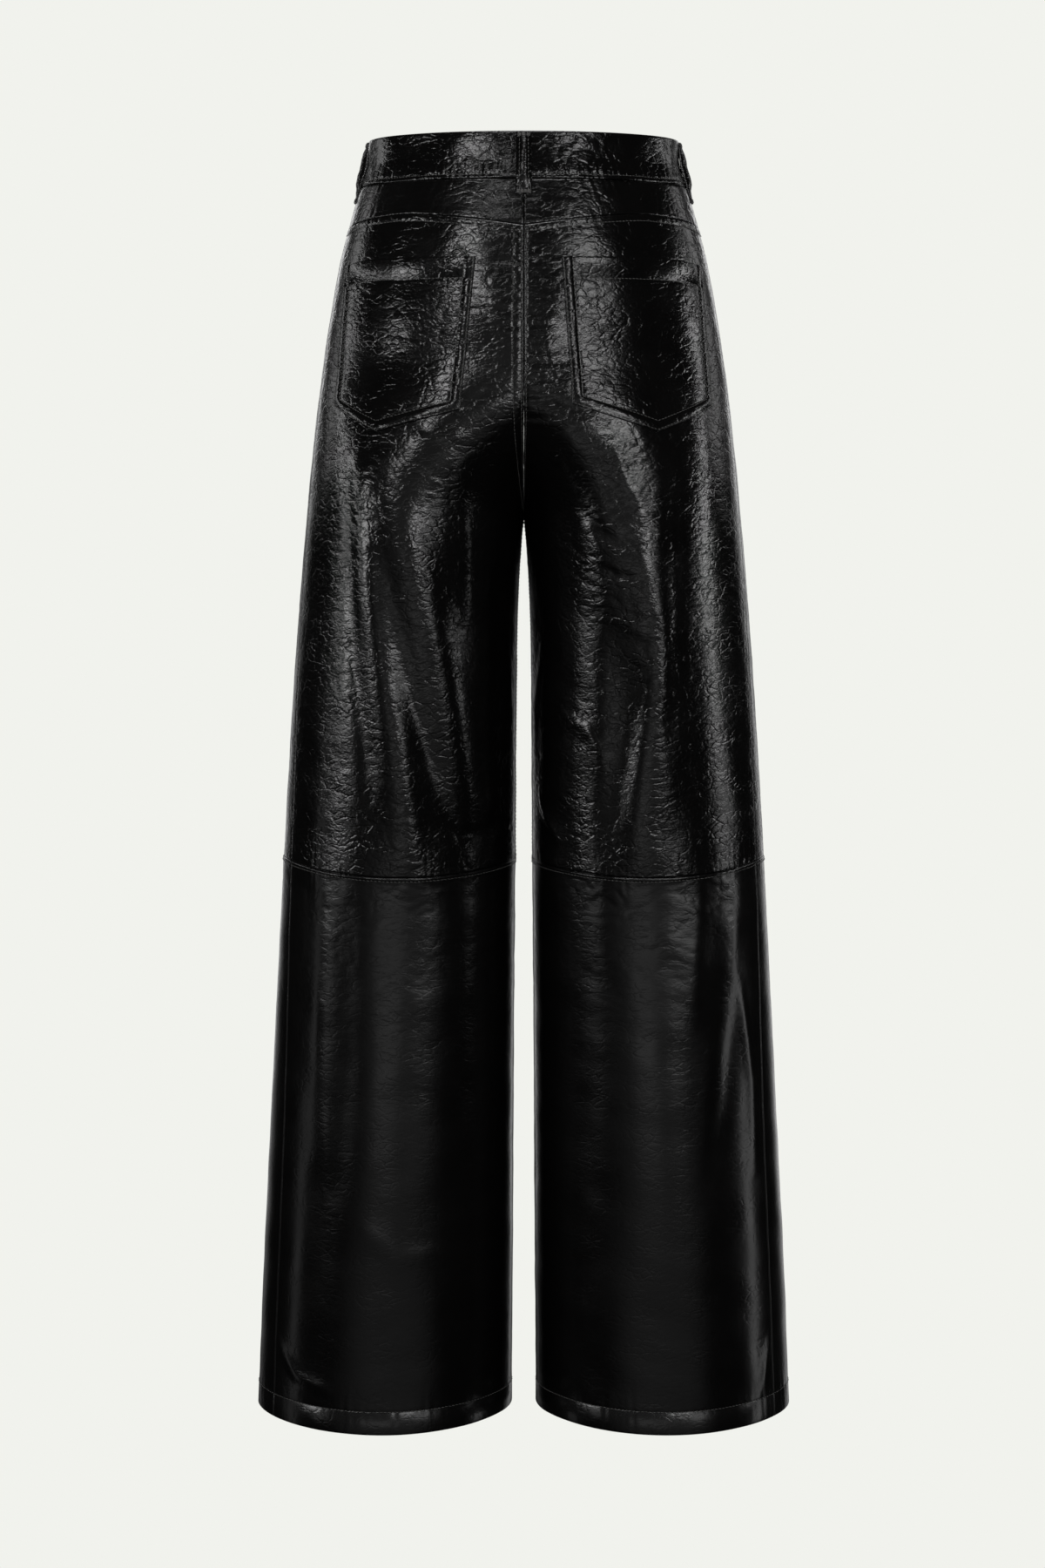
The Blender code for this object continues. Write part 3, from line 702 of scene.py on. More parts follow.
class Panel:
    """A cut piece between two edges along the cloth and two lines across it."""

    def __init__(self, side, first, last, top, foot, levels, borders, cell):
        self.side = side
        self.first = first
        self.last = last
        self.borders = borders
        at_first, at_last, at_top, at_foot = borders
        width = max(float(last(z) - first(z)) for z in np.linspace(*levels, 12))
        near, far = border_lines(at_first), border_lines(at_last)
        share, offset = stations(near, far, width, cell)
        upper = first(levels[0]) + (last(levels[0]) - first(levels[0])) * share + offset
        lower = first(levels[1]) + (last(levels[1]) - first(levels[1])) * share + offset
        self.top = top(upper)
        self.foot = foot(lower)
        tall = abs(levels[1] - levels[0])
        drop, more = stations(border_lines(at_top), border_lines(at_foot), tall, cell)
        self.z = self.top + (self.foot - self.top) * drop[:, None] - more[:, None]
        self.u = first(self.z) + (last(self.z) - first(self.z)) * share + offset
        self.share, self.offset = share, offset

    def by_border(self, u, z, top, foot):
        """Each border with the distances from it."""
        return zip(self.borders, (u - self.first(z), self.last(z) - u, top - z, z - foot))

    def make(self, name, finishes, thick=None):
        """Build the wall; thick gives a thickness for each place where it isn't one leather."""
        height = 0.0
        for border, distance in self.by_border(self.u, self.z, self.top, self.foot):
            height = height + border_profile(border, distance)
        height = height + relief(self.side, self.u, self.z)
        outer = cloth(self.side, self.u, self.z, LEATHER / 2 + height)

        def inner_at(rows, columns):
            at = np.ix_(rows, columns)
            u, z = self.u[at], self.z[at]
            tucked = np.zeros(u.shape)
            tops = np.broadcast_to(self.top, self.z.shape)[at]
            feet = np.broadcast_to(self.foot, self.z.shape)[at]
            for border, distance in self.by_border(u, z, tops, feet):
                if border.tuck:
                    tucked = np.where(distance < 0, border.tuck_depth + LEATHER * 0.7, tucked)
            depth = LEATHER if thick is None else thick(u, z)
            return cloth(self.side, u, z, LEATHER / 2 - depth + crease_height(self.side, u, z) - tucked)

        return wall(name, outer, inner_at, self.side > 0, finishes)

    def across(self, distance, from_top=True):
        """A row along the top or foot, a distance in from it: lengths of cloth and heights."""
        z = self.top - distance if from_top else self.foot + distance
        u = self.first(z) + (self.last(z) - self.first(z)) * self.share + self.offset
        inside = (u > self.first(z) + 0.001) & (u < self.last(z) - 0.001)
        return u[inside], z[inside]

    def along(self, distance, from_last=True):
        """A row down the first or last edge, a distance in from it."""
        column = -1 if from_last else 0
        z = np.linspace(self.top[column] - 0.001, self.foot[column] + 0.001, 200)
        u = self.last(z) - distance if from_last else self.first(z) + distance
        return u, z


# -------- sewing
STITCH_PITCH = 0.0033
STITCH_LENGTH = 0.0025
THREAD_RADIUS = 0.00027
THREAD_SIDES = 6
THREAD_SINK = -0.00006
THREAD_SLANT = 0.10
# Rings of one stitch: share of its length, and its swell and lift as shares of the thread's radius.
STITCH_RINGS = (
    (-0.5, 0.45, -0.9),
    (-0.32, 0.95, 0.05),
    (0.0, 1.0, 0.30),
    (0.32, 0.95, 0.05),
    (0.5, 0.45, -0.9),
)
# A row's surface points are given twice, the second time this far out.
RAISED = 0.001


def stitch_points(centre, tangent, outward, length, radius):
    """Short threads laid along tangents: points of each one's rings."""
    across = np.cross(tangent, outward)
    turn = 2 * math.pi * np.arange(THREAD_SIDES) / THREAD_SIDES
    points = []
    for way, swell, lift in STITCH_RINGS:
        ring = centre[:, None] + tangent[:, None] * way * length + outward[:, None] * lift * radius
        ring = ring + outward[:, None] * (np.cos(turn) * swell * radius)[None, :, None]
        ring = ring + across[:, None] * (np.sin(turn) * swell * radius)[None, :, None]
        points.append(ring)
    return np.stack(points, axis=1)


def stitch_faces(count):
    """Faces of that many capped threads."""
    size = len(STITCH_RINGS) * THREAD_SIDES
    faces = []
    for k in range(len(STITCH_RINGS) - 1):
        for m in range(THREAD_SIDES):
            a = k * THREAD_SIDES + m
            b = k * THREAD_SIDES + (m + 1) % THREAD_SIDES
            faces.append((a, b, b + THREAD_SIDES, a + THREAD_SIDES))
    caps = [tuple(range(THREAD_SIDES))[::-1], tuple(range(size - THREAD_SIDES, size))]
    every = []
    for n in range(count):
        every += [tuple(v + n * size for v in face) for face in faces + caps]
    return every


class Sewing:
    """Rows of stitches gathered into one mesh."""

    def __init__(self):
        self.parts = []

    def row(self, points, raised, pitch=STITCH_PITCH, length=STITCH_LENGTH, radius=THREAD_RADIUS):
        """Stitches along a line of surface points; raised is the same line, moved outwards."""
        spans = np.linalg.norm(np.diff(points, axis=0), axis=1)
        way = np.concatenate(([0.0], np.cumsum(spans)))
        count = int(way[-1] / pitch)
        if count < 1:
            return
        places = (np.arange(count) + 0.5) * way[-1] / count
        read = lambda line, at: np.stack([np.interp(at, way, line[:, k]) for k in range(3)], axis=1)
        centre = read(points, places)
        tangent = read(points, places + length / 2) - read(points, places - length / 2)
        tangent /= np.linalg.norm(tangent, axis=1, keepdims=True)
        outward = read(raised, places) - centre
        outward -= tangent * (outward * tangent).sum(axis=1, keepdims=True)
        outward /= np.linalg.norm(outward, axis=1, keepdims=True)
        slant = tangent + np.cross(tangent, outward) * THREAD_SLANT
        slant /= np.linalg.norm(slant, axis=1, keepdims=True)
        self.parts.append(stitch_points(centre, slant, outward, length, radius))

    def on_cloth(self, side, u, z, out):
        """A row on a panel's outer face."""
        height = relief(side, u, z)
        self.row(cloth(side, u, z, out + height), cloth(side, u, z, out + height + RAISED))

    def on_band(self, way, z, out, **kind):
        """A row on the waistband or on a belt loop."""
        self.row(band_spot(way, z, out), band_spot(way, z, out + RAISED), **kind)

    def make(self, name, finish):
        """Join the rows into a piece."""
        size = len(STITCH_RINGS) * THREAD_SIDES
        points = np.concatenate([part.reshape(-1, size, 3) for part in self.parts])
        piece = make_mesh(name, points, stitch_faces(len(points)), [finish], sharp=80)
        return piece


# -------- finishes
def add_node(tree, kind, **settings):
    """A node with its settings and input values."""
    made = tree.nodes.new(kind)
    for key, value in settings.items():
        if key in made.inputs:
            made.inputs[key].default_value = value
        else:
            setattr(made, key, value)
    return made


class Finish:
    """A procedural material under construction."""

    def __init__(self, name, roughness=0.5, metallic=0.0):
        self.material = bpy.data.materials.new(name)
        self.material.use_nodes = True
        self.tree = self.material.node_tree
        self.shader = self.tree.nodes["Principled BSDF"]
        self.shader.inputs["Roughness"].default_value = roughness
        self.shader.inputs["Metallic"].default_value = metallic
        self.place = self.node("ShaderNodeTexCoord").outputs["Object"]

    def node(self, kind, **settings):
        """A node of this material."""
        return add_node(self.tree, kind, **settings)

    def link(self, out, into):
        """Connect two sockets."""
        self.tree.links.new(out, into)

    def stretched(self, scale, offset=(0.0, 0.0, 0.0)):
        """Coordinates stretched along each axis."""
        mapping = self.node("ShaderNodeMapping", Scale=scale, Location=offset)
        self.link(self.place, mapping.inputs["Vector"])
        return mapping.outputs["Vector"]

    def noise(self, scale, detail=2.0, rough=0.5, distortion=0.0, place=None):
        """Noise over coordinates."""
        sizes = {"Scale": scale, "Detail": detail, "Roughness": rough, "Distortion": distortion}
        made = self.node("ShaderNodeTexNoise", **sizes)
        self.link(place or self.place, made.inputs["Vector"])
        return made.outputs["Fac"]

    def warped(self, place, scale, amount):
        """Coordinates pushed about by noise."""
        noise = self.node("ShaderNodeTexNoise", Scale=scale, Detail=2.0)
        self.link(place, noise.inputs["Vector"])
        push = self.node("ShaderNodeVectorMath", operation="MULTIPLY_ADD")
        self.link(noise.outputs["Color"], push.inputs[0])
        push.inputs[1].default_value = (amount, amount, amount)
        self.link(place, push.inputs[2])
        return push.outputs["Vector"]

    def edges(self, scale, place, low, high):
        """Lines between cells, 0 on the line and 1 away from it."""
        cells = self.node("ShaderNodeTexVoronoi", feature="DISTANCE_TO_EDGE", Scale=scale)
        self.link(place, cells.inputs["Vector"])
        return self.between(cells.outputs["Distance"], low, high, 0.0, 1.0)

    def between(self, value, low, high, new_low, new_high):
        """A value mapped to another range."""
        made = self.node("ShaderNodeMapRange", interpolation_type="SMOOTHSTEP")
        self.link(value, made.inputs["Value"])
        keys = ("From Min", "From Max", "To Min", "To Max")
        for key, number in zip(keys, (low, high, new_low, new_high)):
            made.inputs[key].default_value = number
        return made.outputs["Result"]

    def bump(self, height, distance, strength=1.0, before=None, share=None):
        """A bump from a height, on top of another; share makes it weaker in places."""
        made = self.node("ShaderNodeBump", Strength=strength, Distance=distance)
        self.link(height, made.inputs["Height"])
        if share is not None:
            self.link(share, made.inputs["Strength"])
        if before is not None:
            self.link(before, made.inputs["Normal"])
        return made.outputs["Normal"]

    def colours(self, value, dark, light):
        """Colour between two by a value."""
        mix = self.node("ShaderNodeMix", data_type="RGBA")
        self.link(value, mix.inputs["Factor"])
        mix.inputs["A"].default_value = (*dark, 1.0)
        mix.inputs["B"].default_value = (*light, 1.0)
        self.link(mix.outputs["Result"], self.shader.inputs["Base Color"])

    def rough(self, value, low, high):
        """Roughness between two values."""
        self.link(self.between(value, 0.25, 0.75, low, high), self.shader.inputs["Roughness"])

    def normal(self, out):
        """Use a normal for the surface and its coat."""
        self.link(out, self.shader.inputs["Normal"])
        self.link(out, self.shader.inputs["Coat Normal"])


def leather_finish(name, offset, gloss=0.27, crease=1.0):
    """Black semi-gloss crinkled leather."""
    leather = Finish(name)
    place = leather.stretched((1.0, 1.0, 1.8), offset)
    broad = leather.edges(95.0, leather.warped(place, 70.0, 0.012), 0.0, 0.16)
    fine = leather.edges(240.0, leather.warped(place, 150.0, 0.004), 0.0, 0.20)
    folds = leather.noise(110.0, detail=3.0, rough=0.5, distortion=0.8, place=place)
    pores = leather.noise(1500.0, detail=2.0, rough=0.6)
    patches = leather.noise(40.0, detail=1.0, place=place)
    share = leather.between(patches, 0.40, 0.62, 0.20 * crease, 0.66 * crease)
    normal = leather.bump(folds, 0.0016, 0.15 * crease)
    normal = leather.bump(broad, 0.00026, before=normal, share=share)
    normal = leather.bump(fine, 0.00007, 0.40 * crease, normal)
    normal = leather.bump(pores, 0.00004, 0.4, normal)
    leather.normal(normal)
    wear = leather.noise(38.0, detail=4.0, rough=0.6)
    leather.colours(wear, (0.0020, 0.0019, 0.0019), (0.0042, 0.0040, 0.0039))
    leather.rough(leather.noise(26.0, detail=3.0), gloss - 0.12, gloss - 0.05)
    leather.shader.inputs["Coat Weight"].default_value = 0.12
    leather.shader.inputs["Coat Roughness"].default_value = 0.08
    return leather.material


def flesh_finish():
    """The leather's matt flesh side."""
    flesh = Finish("leather_inside")
    nap = flesh.noise(900.0, detail=3.0, rough=0.7)
    flesh.colours(flesh.noise(60.0, detail=4.0), (0.012, 0.0115, 0.011), (0.024, 0.022, 0.021))
    flesh.rough(nap, 0.75, 0.95)
    flesh.normal(flesh.bump(nap, 0.0002, 0.6))
    return flesh.material


def thread_finish():
    """Black polyester thread, its colour raised to dark greys as a painted highlight for the glints its
    stitches catch.
    """
    thread = Finish("thread")
    twist = thread.noise(2600.0, detail=1.0)
    # Painted highlight: both greys are far lighter than black thread, so the stitches look lit as if
    # catching glints; the twist noise varies the tone at random between them.
    thread.colours(twist, (0.050, 0.050, 0.048), (0.130, 0.127, 0.122))
    thread.rough(twist, 0.34, 0.50)
    thread.normal(thread.bump(twist, 0.00008, 0.6))
    return thread.material


def tape_finish():
    """Black woven zip tape."""
    tape = Finish("zip_tape_weave")
    weave = tape.node("ShaderNodeTexWave", bands_direction="Z", Scale=260.0, Distortion=0.6)
    tape.link(tape.place, weave.inputs["Vector"])
    tape.colours(weave.outputs["Fac"], (0.007, 0.007, 0.007), (0.020, 0.020, 0.020))
    tape.rough(tape.noise(700.0), 0.75, 0.92)
    tape.normal(tape.bump(weave.outputs["Fac"], 0.0002, 0.7))
    return tape.material


def metal_finish(name, dark, light, low, high):
    """Plated metal with fine scratches."""
    metal = Finish(name, metallic=1.0)
    scratches = metal.noise(900.0, detail=3.0, rough=0.6, place=metal.stretched((1.0, 1.0, 0.12)))
    metal.colours(scratches, dark, light)
    metal.rough(metal.noise(240.0, detail=3.0), low, high)
    metal.normal(metal.bump(scratches, 0.00003, 0.4))
    return metal.material


flesh = flesh_finish()
thread = thread_finish()
tape_weave = tape_finish()
nickel = metal_finish("dark_nickel", (0.20, 0.20, 0.21), (0.34, 0.34, 0.35), 0.20, 0.36)


def leather_pair(name, offset, gloss=0.27, crease=1.0):
    """Grain side and flesh side."""
    return [leather_finish(name, offset, gloss, crease), flesh]


# -------- panels
def end_back(z):
    """Length of cloth to the centre back or the inseam, less half a seam."""
    return reach(z, True) - SEAM_SLIT


def end_front(z):
    """Length of cloth to the centre front or the inseam, as a place in front of the side line."""
    return -reach(z, False) + SEAM_SLIT


def back_side(z):
    """The back's edge at the side seam."""
    return side_seam(z) + SEAM / 2


def front_side(z):
    """The front's edge at the side seam."""
    return side_seam(z) - SEAM / 2


def level(height):
    """A straight line across at one height."""
    return lambda u: np.full(np.shape(u), height)


UNDER_BAND = Border(tuck=0.0035, tuck_depth=0.0012)
UNDER_PANEL = Border(tuck=0.0030, tuck_depth=0.0006)
SEWN_TOP = Border(rows=(0.0055,), lift=0.00060, lift_width=0.0062)
KNEE_TOP = Border(rows=(0.0030,), lift=0.00060, lift_width=0.0038)
HEM_FOOT = Border(rows=(HEM_TURN - 0.0005,), lift=0.00040, lift_width=HEM_TURN)
CENTRE_BACK = {
    -1: Border(rows=(0.0022, 0.0088), lift=0.0003, lift_width=0.0098),
    1: Border(rows=(0.0022,)),
}
FLY_EDGE = {-1: PLAIN, 1: Border(rows=(0.0022,), lift=0.0003, lift_width=0.0040)}


def state_piece(piece, node, area=None, rests_on=("waistband_skin",)):
    """Hide the solid that a sheet stands for; the area of its flat cut and what it rests on are gathered
    here but not passed on.
    """
    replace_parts(piece, node)
    more = {"rests_on": list(rests_on)} if rests_on else {}
    if area is not None:
        more["area"] = round(float(area), 5)


def state_panel(piece, node, panel):
    """Work out a leg panel's flat cut and hide the solid it stands for."""
    width = (panel.u.max(axis=1) - panel.u.min(axis=1)).max()
    length = (panel.z.max(axis=0) - panel.z.min(axis=0)).max()
    heights = panel.z[:, 0]
    spans = panel.last(heights) - panel.first(heights)
    area = abs(((spans[1:] + spans[:-1]) * np.diff(heights)).sum() / 2)
    state_piece(piece, node, min(area, 0.999 * width * length), ["waistband"])


def hem_thickness(u, z):
    """One leather, or two where the hem is turned up inside."""
    return np.where(z < hem_height(u) + HEM_TURN, DOUBLE, LEATHER)


def make_panels(side, word):
    """The cut pieces of one leg."""
    below_band = level(WAIST_SEAM - SEAM / 2)
    above_yoke = lambda u: yoke_height(u) + SEAM / 2
    below_yoke = lambda u: yoke_height(u) - SEAM / 2
    above_knee = lambda u: knee_height(u) + SEAM / 2
    below_knee = lambda u: knee_height(u) - SEAM / 2
    yoke = Panel(side, back_side, end_back, below_band, above_yoke, (WAIST_SEAM, YOKE_LEVEL),
                 (PLAIN, PLAIN, UNDER_BAND, UNDER_PANEL), SMALL_CELL)
    upper = Panel(side, back_side, end_back, below_yoke, above_knee, (YOKE_LEVEL, KNEE),
                  (PLAIN, CENTRE_BACK[side], SEWN_TOP, UNDER_PANEL), BACK_CELL)
    lower = Panel(side, back_side, end_back, below_knee, hem_height, (KNEE, HEM),
                  (PLAIN, PLAIN, KNEE_TOP, HEM_FOOT), LOWER_CELL)
    front_upper = Panel(side, end_front, front_side, below_band, above_knee, (WAIST_SEAM, KNEE),
                        (FLY_EDGE[side], UNDER_PANEL, UNDER_BAND, UNDER_PANEL), FRONT_CELL)
    front_lower = Panel(side, end_front, front_side, below_knee, hem_height, (KNEE, HEM),
                        (PLAIN, UNDER_PANEL, KNEE_TOP, HEM_FOOT), FRONT_CELL)
    # Name, panel, thickness, gloss, and how strong the fine crinkle is.
    kinds = (
        ("back_yoke", yoke, None, 0.28, 0.8),
        ("back_upper", upper, None, 0.27, 1.0),
        ("back_lower", lower, hem_thickness, 0.31, 0.30),
        ("front_upper", front_upper, None, 0.27, 1.0),
        ("front_lower", front_lower, hem_thickness, 0.31, 0.30),
    )
    for number, (kind, panel, thick, gloss, crease) in enumerate(kinds):
        name = kind + "_" + word
        offset = (0.31 * number, 0.17 * side, 0.23 * number)
        piece = panel.make(name + "_skin", leather_pair("leather_" + name, offset, gloss, crease), thick)
        state_panel(piece, name, panel)
    return {kind[0]: kind[1] for kind in kinds}


# -------- patch pockets
POCKET_OUT = LEATHER / 2 + SEAM + LEATHER
POCKET_ROWS = (0.0012, 0.0082)
POCKET_FACING = 0.0180
POCKET_WELT = 0.00060
POCKET_TALL = 0.135
POCKET_MEAN_TALL = 0.1295
WELT_FALL = 0.0020
FACING_FALL = 0.0024
POCKET_EDGE = Border(rows=POCKET_ROWS)
POCKET_MOUTH = Border(rows=(POCKET_FACING,))


def pocket_spans(pocket, z):
    """Distances from the centre back of a pocket's outer and inner edges at a height."""
    outer_down = np.clip((pocket.top - z) / (pocket.top - pocket.outer_end), 0, 1)
    inner_down = np.clip((pocket.top - z) / (pocket.top - pocket.inner_end), 0, 1)
    outer = pocket.outer_top + (pocket.outer_low - pocket.outer_top) * outer_down
    inner = pocket.inner_top + (pocket.inner_low - pocket.inner_top) * inner_down
    return outer, inner


def pocket_mouth(pocket, d):
    """Height of the pocket's mouth, which drops a little to its outer corner."""
    share = np.clip((d - pocket.point) / (pocket.outer_top - pocket.point), 0, 1)
    return pocket.top - POCKET_CORNER_DROP * share ** 2


def pocket_outline(pocket, inset):
    """The pocket's edge without its mouth, moved in: outer top, outer low, point, inner low, inner top."""
    corners = [
        (pocket.outer_top, pocket.top - POCKET_CORNER_DROP),
        (pocket.outer_low, pocket.outer_end),
        (pocket.point, pocket.point_end),
        (pocket.inner_low, pocket.inner_end),
        (pocket.inner_top, pocket.top),
    ]
    lines = []
    for start, end in zip(np.array(corners), np.array(corners[1:])):
        way = (end - start) / np.linalg.norm(end - start)
        inward = np.array((way[1], -way[0]))
        lines.append((start + inward * inset, way))
    points = [lines[0][0]]
    for (a, along_a), (b, along_b) in zip(lines, lines[1:]):
        t = np.linalg.solve(np.stack((along_a, -along_b), axis=1), b - a)[0]
        points.append(a + along_a * t)
    last, way = lines[-1]
    points.append(last + way * ((pocket.top - last[1]) / way[1]))
    return np.array(points)


def edge_distance(outline, d, z):
    """Distance in from the outline's four lines."""
    nearest = np.full(np.shape(d), 1.0)
    for start, end in zip(outline, outline[1:]):
        way = (end - start) / np.linalg.norm(end - start)
        nearest = np.minimum(nearest, (d - start[0]) * way[1] - (z - start[1]) * way[0])
    return nearest


def make_pocket(side, word):
    """A patch pocket on the back's own surface, with its welt, mouth facing and sewn rows."""
    pocket = POCKETS[side]
    edge = border_lines(POCKET_EDGE)
    width = pocket.outer_top - pocket.inner_top
    share, offset = stations(edge, edge, width, SMALL_CELL)
    low = pocket.outer_low + (pocket.inner_low - pocket.outer_low) * share - offset
    tip = np.abs(low - pocket.point).argmin()
    base = np.interp(-low, (-pocket.outer_low, -pocket.point, -pocket.inner_low),
                     (pocket.outer_end, pocket.point_end, pocket.inner_end))
    base[tip] = pocket.point_end
    high = pocket.outer_top + (pocket.inner_top - pocket.outer_top) * share - offset
    mouth = pocket_mouth(pocket, high)
    drop, more = stations(border_lines(POCKET_MOUTH), edge, POCKET_TALL, SMALL_CELL)
    z = mouth + (base - mouth) * drop[:, None] - more[:, None]
    outer_edge, inner_edge = pocket_spans(pocket, z)
    d = outer_edge + (inner_edge - outer_edge) * share - offset
    u = reach(z, True) - d

    away = edge_distance(pocket_outline(pocket, 0.0), d, z)
    from_mouth = pocket_mouth(pocket, d) - z
    height = border_profile(POCKET_EDGE, np.maximum(away, 0))
    height = height + border_profile(POCKET_MOUTH, np.maximum(from_mouth, 0))
    height = height + POCKET_WELT * (1 - ease((away - POCKET_ROWS[1]) / WELT_FALL + 0.5))
    height = height + POCKET_WELT * (1 - ease((from_mouth - POCKET_FACING) / FACING_FALL + 0.5))
    height = height + pocket_gathers(side, d, z, away, from_mouth)
    on_leg = relief(side, u, z)
    outer = cloth(side, u, z, POCKET_OUT + on_leg + height)

    def inner_at(rows, columns):
        at = np.ix_(rows, columns)
        return cloth(side, u[at], z[at], LEATHER / 2 + SEAM * 0.7 + on_leg[at])

    name = "back_pocket_" + word
    finishes = leather_pair("leather_" + name, (0.7, 0.4 * side, 0.1), 0.26)
    piece = wall(name + "_skin", outer, inner_at, side > 0, finishes, every=1)
    length = pocket.top - pocket.point_end
    mean_width = (pocket.outer_top + pocket.outer_low - pocket.inner_top - pocket.inner_low) / 2
    area = min(mean_width * POCKET_MEAN_TALL, 0.99 * width * length)
    state_piece(piece, name, area, ["back_upper_" + word + "_skin"])
    rows = Sewing()
    start_in = 0.0015
    face = POCKET_OUT + THREAD_SINK
    for inset in POCKET_ROWS:
        path = pocket_outline(pocket, inset)
        path[[0, -1], 1] -= start_in
        for start, end in zip(path, path[1:]):
            line = start + (end - start) * np.linspace(0, 1, 60)[:, None]
            rows.on_cloth(side, reach(line[:, 1], True) - line[:, 0], line[:, 1], face + POCKET_WELT)
    margin = POCKET_ROWS[1] + 0.002
    inside = np.linspace(pocket.inner_top + margin, pocket.outer_top - margin, 160)
    line_z = pocket_mouth(pocket, inside) - POCKET_FACING
    rows.on_cloth(side, reach(line_z, True) - inside, line_z, face + POCKET_WELT * 0.6)
    rows.make("stitches_pocket_" + word, thread)


def pocket_gathers(side, d, z, away, from_mouth):
    """Gathers along the pocket's edge and facing."""
    edge = pucker(POCKET_GATHERS, side, d + z, away - POCKET_ROWS[1])
    facing = pucker(FACING_GATHERS, side, d, from_mouth - POCKET_FACING)
    inside = ease((away - POCKET_ROWS[1]) / 0.004)
    return edge * inside + facing * inside


# -------- waistband and belt loops
BAND_ROW = 0.0037
BAND_END_ROW = 0.0025
BAND_FOOT = Border(rows=(BAND_ROW,))
BAND_END = Border(rows=(BAND_END_ROW,))
RIM_ROUND = 0.0016
RIM_LINES = (0.0, 0.00015, 0.0005, 0.0010, RIM_ROUND, 0.0026)
BAND_BEND = Wave(901, 0.030, 0.025, 0.004)
BAND_CRINKLE = Crinkle(902, 0.028, 0.024, 0.00042, 0.55)
BAND_PATCHES = Wave(903, 0.120, 0.090, 0.6)
BAND_SWELL = Wave(904, 0.060, 0.070, 0.00065)
# How far under the rim the band's crinkle and its gathers come to their full height.
BAND_CRINKLE_FROM = 0.006
BAND_GATHERS_FROM = 0.012
BAND_GATHERS_UP = 0.003
ROW_MARGIN = 0.003
WHOLE = 2 * float(reach(WAIST_SEAM, False) + reach(WAIST_SEAM, True))


def loop_ways():
    """Each belt loop's name and place round the waistband, from the centre front by the right side."""
    front = float(reach(WAIST_SEAM, False))
    back = float(reach(WAIST_SEAM, True))
    return {
        "belt_loop_front_right": FRONT_LOOP_AT,
        "belt_loop_right": front + SIDE_LOOP_BACK,
        "belt_loop_back": front + back,
        "belt_loop_left": front + 2 * back - SIDE_LOOP_BACK,
        "belt_loop_front_left": 2 * (front + back) - FRONT_LOOP_AT,
    }


def band_spot(way, z, out):
    """Points of the waistband, way along it from the centre front by the wearer's right side."""
    way, z, out = (np.asarray(a, float) for a in np.broadcast_arrays(way, z, out))
    front = reach(z, False)
    back = reach(z, True)
    way = way * 2 * (front + back) / WHOLE
    right = turned(way - front, z, out)
    left = turned(front + 2 * back - way, z, out)
    left[..., 0] *= -1
    return np.where((way <= front + back)[..., None], right, left)


def lap_shift(way):
    """How far the band's ends part where they lap: outwards at the first end, inwards at the other."""
    apart = (DOUBLE + SEAM) / 2
    outer = 1 - ease((way - UNDERLAP) / LAP_EASE)
    under = ease((way - (WHOLE - LAP - LAP_EASE)) / LAP_EASE)
    return apart * (outer - under)


def band_relief(way, z):
    """Crinkle and gathers of the waistband's outer face."""
    patch = np.clip(0.60 + slow(BAND_PATCHES, 0, way, z), 0.15, 1.0)
    bent = way + slow(BAND_BEND, 0, way, z)
    height = slow(BAND_SWELL, 0, way, z) - pressed(BAND_CRINKLE, 0, bent, z, patch)
    gathers = pucker(BAND_GATHERS, 0, way, z - WAIST_SEAM - BAND_ROW - BAND_GATHERS_UP)
    return height * ease(-z / BAND_CRINKLE_FROM) + gathers * ease(-z / BAND_GATHERS_FROM)


def make_waistband():
    """One double band round the waist, its ends lapped at the centre front, with a rolled top edge."""
    length = WHOLE + LAP + UNDERLAP
    tall = -(WAIST_SEAM + SEAM / 2)
    end_lines = border_lines(BAND_END)
    share, offset = stations(end_lines, end_lines, length, SMALL_CELL)
    drop, more = stations(np.array(RIM_LINES), border_lines(BAND_FOOT), tall, SMALL_CELL)
    way = -LAP + length * share + offset
    z = -(tall * drop + more)[:, None] + 0 * way
    way = way + 0 * z
    rolled = np.sqrt(np.clip(1 - (1 + z / RIM_ROUND) ** 2, 0, 1))
    roll = DOUBLE / 2 * np.where(-z < RIM_ROUND, rolled, 1.0)
    borders = border_profile(BAND_FOOT, z + tall) + border_profile(BAND_END, way + LAP)
    borders = borders + border_profile(PLAIN, WHOLE + UNDERLAP - way)
    shift = lap_shift(way)
    outer = band_spot(way, z, roll + borders + band_relief(way, z) + shift)

    def inner_at(rows, columns):
        at = np.ix_(rows, columns)
        return band_spot(way[at], z[at], shift[at] - roll[at])

    finishes = leather_pair("leather_waistband", (0.9, 0.2, 0.6), 0.25)
    piece = wall("waistband_skin", outer, inner_at, True, finishes, every=2)
    state_piece(piece, "waistband", rests_on=())
    rows = Sewing()
    face = DOUBLE / 2 + THREAD_SINK
    line = np.linspace(-LAP + ROW_MARGIN, WHOLE + UNDERLAP - ROW_MARGIN, 1400)
    height = WAIST_SEAM + BAND_ROW
    rows.on_band(line, height, face + lap_shift(line) + band_relief(line, height))
    down = np.linspace(-ROW_MARGIN, WAIST_SEAM + BAND_ROW + 0.0003, 60)
    end_row = -LAP + BAND_END_ROW
    rows.on_band(end_row, down, face + lap_shift(end_row) + band_relief(end_row, down))
    rows.make("stitches_waistband", thread)


LOOP_TOP = LOOP_PROFILE[0][0]
LOOP_FOOT = LOOP_PROFILE[-1][0]
LOOP_EDGE_ON_BAND = 0.0013
LOOP_EDGE_ON_YOKE = 0.0008
LOOP_FOOT_IN = 0.0007
LOOP_ARCH = 0.58
LOOP_ROW = 0.0030
LOOP_GROOVE = 0.00030
LOOP_GROOVE_HALF = 0.0007
LOOP_ROUND = 0.0011
LOOP_CRINKLE = Wave(930, 0.012, 0.008, 0.00012)
LOOP_ROW_MARGIN = 0.002
